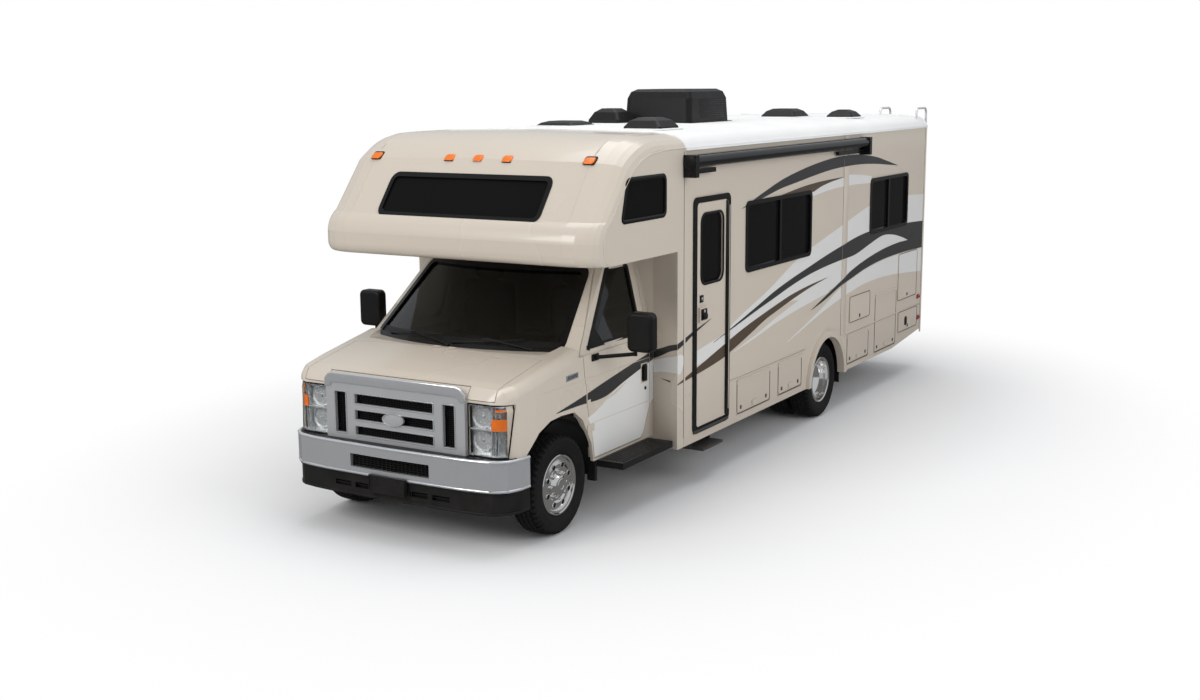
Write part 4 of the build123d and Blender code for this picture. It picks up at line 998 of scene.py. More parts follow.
# ---------------------------------------------------------------- front of the cab
LAMP_PATH = PlanPath(((0.642, -0.657), (0.8, -0.657), (0.868, -0.652), (0.908, -0.628),
                      (0.942, -0.594), (0.968, -0.553)), (1.03, 0.08))
BUMPER_PATH = PlanPath(
    ((0.0, -0.763), (0.6, -0.748), (0.74, -0.735), (0.86, -0.712), (0.915, -0.68), (0.962, -0.635),
     (0.985, -0.585), (1.0, -0.52), (1.005, -0.43)))


@dataclass
class Windscreen(Assembly):
    """The black border, cowl and wipers of the windscreen."""

    shape: ScreenShape = ScreenShape()
    corners: Outline = ((-0.884, 1.303), (0.884, 1.303), (0.752, 1.884), (-0.752, 1.884))
    border: float = 0.042
    slice_step: float = 0.06
    sunk: float = 0.0105
    wipers: tuple[tuple[Pair, Pair, Pair], ...] = (
        ((0.66, 1.325), (0.3, 1.372), (0.0, 1.345)),
        ((-0.02, 1.325), (-0.38, 1.372), (-0.69, 1.335)))

    def build(self) -> None:
        """Makes the border, the cowl and the wipers."""
        bm = bmesh.new()
        add_ring(bm, Face.FRONT, self.corners, 0.0, self.border, 0.0125, 0.075)
        self._bend(bm)
        self.piece("windscreen_border", bm, TRIM_GLOSS)
        bm = bmesh.new()
        add_plate(bm, Face.FRONT, ((-0.86, 1.282), (0.86, 1.282), (0.875, 1.312), (-0.875, 1.312)),
                  0.0, 0.014)
        add_plate(bm, Face.FRONT, ((-0.845, 1.34), (0.845, 1.34), (0.835, 1.385), (-0.835, 1.385)),
                  0.0, 0.003)
        self._bend(bm)
        self.piece("windscreen_cowl", bm, BLACK_PLASTIC)
        for index, (pivot, middle, tip) in enumerate(self.wipers):
            self._wiper(index, pivot, middle, tip)

    def _bend(self, bm: Mesh) -> None:
        """Bends a flat front mesh onto the windscreen, its depth turning into lift.

        Args:
            bm: the mesh.
        """
        slice_up(bm, Face.FRONT, self.slice_step)
        for vert in bm.verts:
            vert.co = self.shape.point(vert.co.x, vert.co.z, vert.co.y - FRONT_AXLE_Y - self.sunk)

    def _wiper(self, index: int, pivot: Pair, middle: Pair, tip: Pair) -> None:
        """Makes one wiper: hub, arm and blade.

        Args:
            index: which one it is.
            pivot: x and height of its hub.
            middle: x and height of its knee.
            tip: x and height of its blade's far end.
        """
        bm = bmesh.new()
        root = self.shape.point(*pivot, 0.008)
        knee = self.shape.point(*middle, 0.022)
        add_tube(bm, [root, root.lerp(knee, 0.5) + Vector((0, -0.004, 0.004)), knee], 0.006)
        end = self.shape.point(*tip, 0.01)
        blade = [self.shape.point(middle[0] + 0.26 - 0.08 * step, middle[1] + 0.012 - 0.006 * step,
                                  0.011) for step in range(8)]
        add_tube(bm, blade, 0.0055)
        bmesh.ops.create_icosphere(
            bm, subdivisions=2, radius=0.015, matrix=Matrix.Translation(root))
        add_tube(bm, [knee, end.lerp(knee, 0.85)], 0.009)
        self.piece(f"wiper_{index}", bm, BLACK_PLASTIC)


@dataclass
class Headlamps(Assembly):
    """Both headlamps: silver housing with bowls, amber insert, clear lens and black rim."""

    path: PlanPath = LAMP_PATH
    low: float = 0.706
    high: float = 1.08
    slant: float = 0.055
    bowl_y: float = -0.612
    shares: tuple[float, ...] = (0.12, 0.3, 0.5, 0.7, 0.85, 1.0)
    rim_steps: int = 14
    bowls: tuple[tuple[float, float, float], ...] = (
        (0.735, 0.985, 0.078), (0.735, 0.815, 0.075), (0.855, 1.02, 0.035))

    def build(self) -> None:
        """Makes every part of both lamps."""
        for side, name in SIDES:
            place = self.path.on_side(side)
            self._shell(name, place)
            self._bowls(name, side)
            self._front(name, place)

    def _slanted(self, run: float, height: float) -> Pair:
        """Pulls the outer edge in towards the bottom.

        Args:
            run: distance along the surface.
            height: the height.

        Returns:
            The moved run and height.
        """
        share = run / self.path.length
        fall = (self.high - height) / (self.high - self.low)
        return run - self.slant * fall * share ** 2, height

    def _shell(self, name: str, place: Place) -> None:
        """Makes the silver housing, the painted corner beside the lens and the dark back.

        Args:
            name: the side's name.
            place: gives the places on this side's surface.
        """
        bm = bmesh.new()
        add_patch(bm, (0.0, self.path.length), (self.low, self.high), place, (-0.06, -0.052),
                  (14, 10), self._slanted)
        for z in (0.715, 0.9, 1.07):
            add_patch(bm, (0.0, self.path.length - 0.01), (z - 0.004, z + 0.004), place,
                      (-0.055, -0.01), (12, 1), self._slanted)
        for index in range(3):
            run = 0.195 + 0.035 * index
            add_patch(bm, (run, run + 0.005), (self.low, self.high), place,
                      (-0.055, -0.012 - 0.006 * index), (1, 6), self._slanted)
        self.piece(f"lamp_housing_{name}", bm, REFLECTOR)
        bm = bmesh.new()
        add_patch(bm, (self.path.length - self.slant - 0.004, self.path.length + 0.012),
                  (self.low - 0.006, self.high + 0.004), place, (-0.012, -0.002), (4, 8))
        self.piece(f"lamp_corner_{name}", bm, BEIGE_PAINT)
        bm = bmesh.new()
        add_patch(bm, (-0.004, self.path.length), (self.low - 0.006, self.high + 0.004), place,
                  (-0.068, -0.063), (8, 2))
        self.piece(f"lamp_back_{name}", bm, BLACK_PLASTIC)

    def _bowls(self, name: str, side: int) -> None:
        """Makes the round reflectors and their bulbs.

        Args:
            name: the side's name.
            side: 1 for the left, -1 for the right.
        """
        bm, bulbs = bmesh.new(), bmesh.new()
        for x, z, radius in self.bowls:
            deep = radius * 0.62
            profile = [(deep * (1 - share ** 2), radius * share) for share in self.shares]
            profile.append((-0.004, radius * 1.06))
            add_spun(bm, profile, (side * x, self.bowl_y, z), Vector((0, 1, 0)), 32)
            add_spun(bulbs, [(-0.004, 0.0), (-0.002, radius * 0.12), (0.012, radius * 0.17),
                             (deep, radius * 0.17), (deep, 0.0)], (side * x, self.bowl_y, z),
                     Vector((0, 1, 0)), 16)
        self.piece(f"lamp_bowls_{name}", bm, REFLECTOR)
        self.piece(f"lamp_bulbs_{name}", bulbs, CHROME)

    def _front(self, name: str, place: Place) -> None:
        """Makes the amber insert, the lens over it and the black rim.

        Args:
            name: the side's name.
            place: gives the places on this side's surface.
        """
        length = self.path.length
        bm = bmesh.new()
        add_patch(bm, (0.198, length - 0.002), (0.9, 0.982), place, (-0.014, -0.0045), (8, 4),
                  self._slanted)
        add_patch(bm, (0.222, length - 0.03), (1.035, 1.05), place, (-0.014, -0.007), (8, 2),
                  self._slanted)
        self.piece(f"lamp_amber_{name}", bm, AMBER)
        bm = bmesh.new()
        add_patch(bm, (0.004, length), (self.low, self.high), place, (-0.004, 0.0), (20, 8),
                  self._slanted)
        lens = self.piece(f"lamp_lens_{name}", bm, LAMP_GLASS)
        lens.visible_shadow = False
        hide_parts("headlamps")
        bm = bmesh.new()
        steps, tall = self.rim_steps, self.high - self.low
        round_it = [(length * i / steps, self.high) for i in range(steps + 1)]
        round_it += [(length, self.high - tall * i / steps) for i in range(1, steps + 1)]
        round_it += [(length * (1 - i / steps), self.low) for i in range(1, steps + 1)]
        round_it += [(0.0, self.low + tall * i / 6) for i in range(1, 6)]
        rim = [place(*self._slanted(run, height), -0.001) for run, height in round_it]
        add_tube(bm, rim, 0.0055, closed=True)
        self.piece(f"lamp_rim_{name}", bm, TRIM_GLOSS)


@dataclass
class Grille(Assembly):
    """The rims, chrome header, dark mesh and blank boss of the grille."""

    grow: float = 0.007
    boss_z: float = 0.892
    front: float = -0.6815
    slots: tuple[Span, ...] = (
        (-0.356, 0.356, 0.74, 0.81), (-0.356, 0.356, 0.855, 0.93), (-0.356, 0.356, 0.975, 1.05),
        (-0.544, -0.44, 0.745, 1.055), (0.44, 0.544, 0.745, 1.055))

    def build(self) -> None:
        """Makes the header, the rims, the mesh and the boss."""
        bm = bmesh.new()
        for x0, x1, z0, z1 in self.slots:
            outline = rect(x0 - self.grow, x1 + self.grow, z0 - self.grow, z1 + self.grow)
            add_ring(bm, Face.FRONT, outline, self.front, 0.01, -0.004, 0.014)
        soften(bm, 0.0014, 2, 50)
        self.piece("grille_rims", bm, CHROME)
        bm = bmesh.new()
        profile = ((0.635, 1.085), (0.632, 1.15), (0.6, 1.183), (0.565, 1.196))
        top = [*profile, *[(-x, z) for x, z in reversed(profile)]]
        low = [(-0.585, 1.085), (-0.575, 1.112), (-0.55, 1.12), (0.55, 1.12), (0.575, 1.112),
               (0.585, 1.085)]
        add_plate(bm, Face.FRONT, [*top, *low], self.front + 0.01, -0.024)
        soften(bm, 0.009, 4, 40)
        self.piece("grille_header", bm, CHROME, crease=50)
        bm = bmesh.new()
        add_box(bm, (-0.59, 0.59), (-0.636, -0.632), (0.72, 1.075))
        for index in range(23):
            z = 0.735 + index * 0.0145
            add_box(bm, (-0.57, 0.57), (-0.648, -0.636), (z, z + 0.0035))
        for index in range(49):
            x = -0.57 + index * 0.02375
            add_box(bm, (x - 0.0015, x + 0.0015), (-0.646, -0.636), (0.735, 1.06))
        self.piece("grille_mesh", bm, BLACK_PLASTIC)
        bm = bmesh.new()
        add_spun(bm, [(-0.01, 0.0), (-0.009, 0.06), (-0.006, 0.082), (-0.012, 0.087),
                      (-0.014, 0.093), (-0.008, 0.098), (0.012, 0.094)],
                 (0.0, self.front - 0.004, self.boss_z), Vector((0, 1, 0)), 48)
        middle = Vector((0.0, self.front + FRONT_AXLE_Y, self.boss_z))
        bmesh.ops.scale(bm, vec=(1.0, 1.0, 0.48), verts=bm.verts, space=Matrix.Translation(-middle))
        self.piece("grille_boss", bm, SATIN)


@dataclass
class Bumper(Assembly):
    """The chrome bumper's rolled edges, the black strip over it and the valance's details."""

    path: PlanPath = BUMPER_PATH
    bead_steps: int = 40
    beads: tuple[Pair, ...] = ((0.686, 0.015), (0.476, 0.011))
    opening: Span = (-0.358, 0.358, 0.52, 0.618)
    vents: tuple[Pair, ...] = ((-0.52, -0.37), (-0.33, -0.17), (0.17, 0.33), (0.37, 0.52))

    def build(self) -> None:
        """Makes the edges, the strip, the mesh and the blank plate."""
        bm = bmesh.new()
        length = self.path.length
        count = self.bead_steps
        for height, radius in self.beads:
            line = [self.path.point(length * abs(i) / count, height, -radius * 0.62,
                                    1 if i >= 0 else -1) for i in range(-count, count + 1)]
            add_tube(bm, line, radius, sides=4)
        self.piece("bumper_edges", bm, CHROME, crease=55)
        bm = bmesh.new()
        for side in (1, -1):
            add_patch(bm, (0.0, length), (0.665, 0.702), self.path.on_side(side), (-0.09, -0.022),
                      (30, 1))
        self.piece("bumper_gap_strip", bm, BLACK_PLASTIC)
        self._openings()

    def _openings(self) -> None:
        """Fills the openings with dark mesh, frames the blank plate and edges the valance."""
        bm = bmesh.new()
        x0, x1, z0, z1 = self.opening
        add_box(bm, (x0 - 0.02, x1 + 0.02), (-0.7, -0.69), (z0 - 0.03, z1 + 0.03))
        for index in range(6):
            z = z0 + 0.004 + index * 0.017
            add_box(bm, (x0, x1), (-0.722, -0.7), (z, z + 0.004))
        for index in range(20):
            x = x0 + 0.02 + index * 0.0357
            add_box(bm, (x - 0.002, x + 0.002), (-0.718, -0.7), (z0 - 0.01, z1 + 0.01))
        for a, b in self.vents:
            add_box(bm, (a - 0.01, b + 0.01), (-0.704, -0.698), (0.35, 0.41))
            add_box(bm, (a, b), (-0.724, -0.704), (0.377, 0.383))
        self.piece("bumper_mesh", bm, BLACK_PLASTIC)
        bm = bmesh.new()
        add_ring(bm, Face.FRONT, rect(-0.163, 0.163, 0.362, 0.488), -0.7905, 0.009, -0.004, 0.012)
        for x in (-0.0889, 0.0889):
            add_rod(bm, (x, -0.789, 0.465), (x, -0.796, 0.465), 0.008, 0.006, 12)
        soften(bm, 0.0015, 2, 50)
        self.piece("plate_rim", bm, BLACK_PLASTIC)
        bm = bmesh.new()
        for side in (1, -1):
            for heights, lifts in (((0.452, 0.468), (-0.05, -0.006)),
                                   ((0.3, 0.318), (-0.04, -0.01))):
                add_patch(bm, (0.0, self.path.length), heights, self.path.on_side(side), lifts,
                          (30, 2))
        soften(bm, 0.003, 2, 50)
        self.piece("valance_edges", bm, BLACK_PLASTIC, crease=50)


# ---------------------------------------------------------------- wheels and tyres
@dataclass
class Tyres(Assembly):
    """Tyres with grooved tread, cut shoulders and ringed sidewalls."""

    steps: int = 96
    half_profile: Outline = (
        (0.0, 0.3722), (0.0175, 0.3716), (0.0185, 0.3625), (0.0255, 0.3622), (0.0265, 0.3711),
        (0.0575, 0.3698), (0.0585, 0.3606), (0.0655, 0.3602), (0.0665, 0.3688), (0.084, 0.3664),
        (0.093, 0.361), (0.099, 0.349), (0.1045, 0.34), (0.1065, 0.3385), (0.109, 0.33),
        (0.111, 0.328), (0.1122, 0.3), (0.1108, 0.28), (0.1085, 0.278), (0.104, 0.256),
        (0.0985, 0.244), (0.0975, 0.238), (0.089, 0.23), (0.081, 0.223), (0.08, 0.208))
    front: float = 0.8815
    rear: Pair = (0.858, 1.118)
    half_width: float = 0.1125
    rib_radius: float = 0.3675
    rib_reach: float = 0.06
    first_groove: float = 0.02
    shoulder_radius: float = 0.35
    shoulder: Pair = (0.066, 0.098)
    rib_notch: Pair = (0.0085, -0.005)
    shoulder_notch: Pair = (0.0025, -0.006)

    def build(self) -> None:
        """Makes the front tyres and the twin rear tyres in place of the plain ones."""
        for side, name in SIDES:
            self._tyre(f"tread_front_{name}", [(side * self.front, 0.0)], f"front_wheel_{name}",
                       f"tyre_front_{name}")
            self._tyre(f"tread_rear_{name}", [(side * x, WHEELBASE) for x in self.rear],
                       f"rear_wheels_{name}", f"tyres_rear_{name}")

    def _tyre(self, name: str, places: Sequence[Pair], body: str, node: str) -> None:
        """Makes one or two tyres as one piece.

        Args:
            name: the piece's name.
            places: the x and station of each tyre's middle.
            body: the body it rides on.
            node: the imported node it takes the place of.
        """
        outer = list(self.half_profile)
        profile = [(-a, r) for a, r in reversed(outer[1:])] + outer
        bm = bmesh.new()
        for x, station in places:
            add_spun(bm, [*profile, profile[0]], (x, station, AXLE_Z), Vector((1, 0, 0)),
                     self.steps)
        self._cut_tread(bm, places)
        made = self.piece(name, bm, RUBBER, body, 28)
        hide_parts(node)

    def _cut_tread(self, bm: Mesh, places: Sequence[Pair]) -> None:
        """Sinks a notch into every second block of the ribs and the shoulders.

        Args:
            bm: the tyres' mesh.
            places: the x and station of each tyre's middle.
        """
        bmesh.ops.recalc_face_normals(bm, faces=bm.faces)
        near, far = self.shoulder
        ribs, shoulders = [], []
        for face in bm.faces:
            middle = face.calc_center_median()
            for x, station in places:
                across = abs(middle.x - x)
                if across > self.half_width:
                    continue
                y, z = middle.y - station - FRONT_AXLE_Y, middle.z - AXLE_Z
                radius = math.hypot(y, z)
                turn = int(math.atan2(z, y) / (2 * math.pi) * self.steps + 200)
                if radius > self.rib_radius and across < self.rib_reach:
                    if (turn + (across > self.first_groove)) % 2:
                        ribs.append(face)
                elif turn % 2 and radius > self.shoulder_radius and near < across < far:
                    shoulders.append(face)
        for faces, (width, depth) in ((ribs, self.rib_notch), (shoulders, self.shoulder_notch)):
            bmesh.ops.inset_individual(bm, faces=faces, thickness=width, depth=depth)


@dataclass
class WheelCovers(Assembly):
    """Polished covers with hand holes, wheel nuts and hub caps."""

    front_x: float = 0.8815
    rear_x: float = 0.988
    front_profile: Outline = (
        (0.086, 0.226), (0.0925, 0.2275), (0.0965, 0.2235), (0.0955, 0.215), (0.0885, 0.207),
        (0.08, 0.1985), (0.0745, 0.188), (0.076, 0.18), (0.0835, 0.156), (0.085, 0.148),
        (0.0825, 0.13), (0.076, 0.118), (0.074, 0.11), (0.075, 0.093), (0.083, 0.084),
        (0.098, 0.076), (0.108, 0.069), (0.112, 0.06), (0.112, 0.052), (0.115, 0.048),
        (0.1155, 0.03), (0.112, 0.026), (0.112, 0.0))
    rear_profile: Outline = (
        (0.216, 0.226), (0.2225, 0.2275), (0.2265, 0.2235), (0.2255, 0.215), (0.218, 0.206),
        (0.19, 0.196), (0.15, 0.19), (0.13, 0.186), (0.12, 0.18), (0.045, 0.135), (0.03, 0.123),
        (0.026, 0.115), (0.026, 0.096), (0.035, 0.088), (0.095, 0.083), (0.118, 0.079),
        (0.124, 0.07), (0.125, 0.055), (0.123, 0.053), (0.123, 0.0))
    holes: int = 8

    def build(self) -> None:
        """Makes the covers of all wheels."""
        for side, name in SIDES:
            self._cover(f"front_{name}", side, (self.front_x, 0.0), self.front_profile,
                        f"front_wheel_{name}", (0.0862, 0.152), (0.074, 0.102))
            self._cover(f"rear_{name}", side, (self.rear_x, WHEELBASE), self.rear_profile,
                        f"rear_wheels_{name}", (0.072, 0.152), (0.025, 0.1055))

    def _cover(self, name: str, side: int, place: Pair, profile: Outline, body: str, hole: Pair,
               nut: Pair) -> None:
        """Makes one cover with its holes and nuts.

        Args:
            name: which wheel.
            side: 1 on the left, -1 on the right.
            place: the x and the station its profile is measured from.
            profile: (distance outwards, radius) points.
            body: the body it rides on.
            hole: distance outwards and radius of the ring of hand holes.
            nut: distance outwards and radius of the ring of wheel nuts.
        """
        centre = (side * place[0], place[1], AXLE_Z)
        out = Vector((side, 0, 0))
        bm = bmesh.new()
        add_spun(bm, profile, centre, out, 72)
        self.piece(f"wheel_cover_{name}", bm, POLISHED, body, 24)
        rims, shaded_holes, nuts = bmesh.new(), bmesh.new(), bmesh.new()
        for index in range(self.holes):
            spot = self._spot(side, place, hole, index + 0.5)
            add_spun(rims, [(-0.006, 0.0225), (0.001, 0.022), (0.0016, 0.0204), (0.0004, 0.0192),
                            (-0.006, 0.019)], spot, out, 20)
            # A flat dark disc in each hand hole: the dark wheel behind it and painted shade inside
            # the hole.
            add_spun(shaded_holes, [(-0.004, 0.0194), (0.0003, 0.0192), (0.0002, 0.0)], spot, out, 20)
            spot = self._spot(side, place, nut, index)
            add_spun(nuts, [(-0.002, 0.0145), (0.004, 0.0145), (0.0055, 0.012), (0.018, 0.0112),
                            (0.024, 0.008), (0.026, 0.0)], spot, out, 12)
        self.piece(f"hole_rims_{name}", rims, POLISHED, body)
        self.piece(f"hole_darks_{name}", shaded_holes, RUBBER, body)
        self.piece(f"wheel_nuts_{name}", nuts, POLISHED, body)

    def _spot(self, side: int, place: Pair, ring: Pair, turn: float) -> Triple:
        """The centre of a hole or a nut of a ring.

        Args:
            side: 1 on the left, -1 on the right.
            place: the x and the station the ring is measured from.
            ring: distance outwards and radius of the ring.
            turn: how many holes it is past the first.

        Returns:
            The centre, with a station.
        """
        angle = 2 * math.pi * turn / self.holes
        return (side * (place[0] + ring[0]), place[1] + ring[1] * math.cos(angle),
                AXLE_Z + ring[1] * math.sin(angle))


# ---------------------------------------------------------------- cab sides and interior
@dataclass(frozen=True)
class CabSide:
    """The leaning side of the cab above its belt line."""

    low: float = 1.28
    rise: float = 0.69
    shoulder_x: Pair = (0.97, 0.8)
    shoulder_y: Pair = (0.262, 1.01)
    wall_x: Pair = (0.988, 0.828)
    turn: float = 0.18
    tilt: Pair = (0.974, 0.226)

    def point(self, y: float, z: float, lift: float, side: int) -> Vector:
        """The place at a station and a height, lifted outwards.

        Args:
            y: the station.
            z: the height.
            lift: distance outwards.
            side: 1 for the left, -1 for the right.

        Returns:
            The place.
        """
        share = (z - self.low) / self.rise
        corner = self.shoulder_x[0] + (self.shoulder_x[1] - self.shoulder_x[0]) * share
        start = self.shoulder_y[0] + (self.shoulder_y[1] - self.shoulder_y[0]) * share
        wall = self.wall_x[0] + (self.wall_x[1] - self.wall_x[0]) * share
        bend = min(max((y - start) / self.turn, -0.4), 1.0)
        x = corner + (wall - corner) * bend
        return Vector((side * (x + lift * self.tilt[0]), y + FRONT_AXLE_Y, z + lift * self.tilt[1]))


@dataclass
class CabSides(Assembly):
    """Window rubbers, sails, handles, beads, mirror glass and the blank fender louvre."""

    shape: CabSide = CabSide()
    window: Outline = ((0.4, 1.311), (0.436, 1.35), (0.922, 1.864), (1.219, 1.864), (1.239, 1.842),
                       (1.239, 1.4), (1.188, 1.311))
    handle: Span = (1.205, 1.292, 0.925, 1.065)
    louvre: Span = (0.06, 0.235, 1.132, 1.18)
    liner_r: float = 0.4875
    sunk: float = 0.0105
    bead_x: float = 0.9985
    mirror_y: float = 0.73

    def build(self) -> None:
        """Makes the pieces of both sides."""
        for side, name in SIDES:
            self._window(side, name)
            self._handle(side, name)
            self._beads(side, name)
            self._mirror(side, name)
            self._louvre(side, name)

    def _window(self, side: int, name: str) -> None:
        """Makes the rubber round the door's window and the sail at its front corner.

        Args:
            side: 1 for the left, -1 for the right.
            name: the side's name.
        """
        bm = bmesh.new()
        add_ring(bm, Face.SIDE, self.window, 0.0, 0.03, 0.0135, 0.012)
        sail = bmesh.new()
        add_plate(sail, Face.SIDE, ((0.402, 1.314), (0.66, 1.314), (0.625, 1.355), (0.56, 1.478)),
                  0.0, 0.0145)
        slice_up(sail, Face.SIDE, 0.05)
        merge_into(bm, sail)
        for vert in bm.verts:
            vert.co = self.shape.point(
                vert.co.y - FRONT_AXLE_Y, vert.co.z, vert.co.x - self.sunk, side)
        self.piece(f"window_rubber_{name}", bm, BLACK_PLASTIC, f"cab_door_{name}")

    def _handle(self, side: int, name: str) -> None:
        """Makes the door handle in its cup and the lock under it.

        Args:
            side: 1 for the left, -1 for the right.
            name: the side's name.
        """
        y0, y1, z0, z1 = self.handle
        bm = bmesh.new()
        add_plate(bm, Face.SIDE, rect(y0, y1, z0, z1), side * 1.0003, side * 0.004, 0.022)
        for z in (z0 + 0.018, z1 - 0.034):
            add_box(bm, (side * 1.004, side * 1.018), (y0 + 0.012, y0 + 0.04), (z, z + 0.016))
        add_box(bm, (side * 1.014, side * 1.028), (y0 + 0.008, y0 + 0.044), (z0 + 0.01, z1 - 0.01))
        soften(bm, 0.0035, 3, 40)
        add_rod(bm, (side * 1.0, 1.262, 0.868), (side * 1.006, 1.262, 0.868), 0.015, 0.013, 20)
        self.piece(f"door_handle_{name}", bm, BLACK_PLASTIC, f"cab_door_{name}")

    def _beads(self, side: int, name: str) -> None:
        """Makes the crease beads along the fender and the door, and the arch's liner.

        Args:
            side: 1 for the left, -1 for the right.
            name: the side's name.
        """
        body, door = bmesh.new(), bmesh.new()
        x = side * self.bead_x
        for mesh, y0, y1 in ((body, -0.26, 0.352), (door, 0.374, 1.327)):
            add_rod(mesh, (x, y0, 1.105), (x, y1, 1.105), 0.0038, sides=10)
        add_rod(door, (x, 0.47, 0.752), (x, 1.3, 0.752), 0.0034, sides=10)
        self.piece(f"fender_bead_{name}", body, BEIGE_PAINT, crease=60)
        self.piece(f"door_bead_{name}", door, BEIGE_PAINT, f"cab_door_{name}", 60)
        self._liner(side, name)

    def _liner(self, side: int, name: str) -> None:
        """Makes the dark liner over the front wheel and the flange behind the arch's edge.

        Args:
            side: 1 for the left, -1 for the right.
            name: the side's name.
        """
        arc = [(self.liner_r * math.cos(a), max(self.liner_r * math.sin(a) + AXLE_Z, 0.33))
               for a in (math.radians(-8 + 7 * i) for i in range(29))]
        liner, flange = bmesh.new(), bmesh.new()
        for (y0, z0), (y1, z1) in zip(arc, arc[1:]):
            if abs(y1 - y0) + abs(z1 - z0) >= 0.004:
                self._quad(liner, [(side * x, y, z) for x in (0.56, 0.97)
                                   for y, z in ((y0, z0), (y1, z1))])
        for index in range(28):
            turns = [math.radians(4 + 170 * step / 28) for step in (index, index + 1)]
            self._quad(flange, [(side * 0.9445, r * math.cos(a), r * math.sin(a) + AXLE_Z)
                                for a in turns for r in (0.486, 0.575)])
        for bm in (liner, flange):
            bmesh.ops.remove_doubles(bm, verts=bm.verts, dist=1e-4)
        merge_into(liner, flange)
        self.piece(f"arch_liner_{name}", liner, BLACK_PLASTIC, crease=60)

    @staticmethod
    def _quad(bm: Mesh, corners: Sequence[Triple]) -> None:
        """Adds a face between four places given with stations."""
        bmesh.ops.contextual_create(
            bm, geom=[bm.verts.new((x, y + FRONT_AXLE_Y, z)) for x, y, z in corners])

    def _mirror(self, side: int, name: str) -> None:
        """Makes the mirror's two glasses.

        Args:
            side: 1 for the left, -1 for the right.
            name: the side's name.
        """
        bm = bmesh.new()
        for z0, z1 in ((1.385, 1.56), (1.3, 1.37)):
            add_plate(bm, Face.SIDE, rect(1.2, 1.375, z0, z1), 0.0, 0.004, 0.022)
        for vert in bm.verts:
            across, depth = vert.co.y - FRONT_AXLE_Y, vert.co.x
            vert.co = Vector((side * across, self.mirror_y + depth + FRONT_AXLE_Y, vert.co.z))
        self.piece(f"mirror_glass_{name}", bm, MIRROR, f"cab_door_{name}")

    def _louvre(self, side: int, name: str) -> None:
        """Makes the blank bright louvre on the fender.

        Args:
            side: 1 for the left, -1 for the right.
            name: the side's name.
        """
        y0, y1, z0, z1 = self.louvre
        bm = bmesh.new()
        add_ring(bm, Face.SIDE, ((y0, z0), (y1, z0 + 0.004), (y1, z1), (y0 + 0.02, z1 - 0.003)),
                 side * 0.9995, 0.007, side * 0.0045, 0.005)
        for step in range(3):
            z = z0 + 0.012 + step * 0.01
            add_box(bm, (side * 1.0, side * 1.003), (y0 + 0.012, y1 - 0.008), (z, z + 0.003))
        soften(bm, 0.001, 2, 50)
        self.piece(f"fender_louvre_{name}", bm, CHROME)
        bm = bmesh.new()
        add_box(bm, (side * 0.9998, side * 1.0012), (y0 + 0.01, y1 - 0.006),
                (z0 + 0.006, z1 - 0.006))
        self.piece(f"louvre_back_{name}", bm, BLACK_PLASTIC)


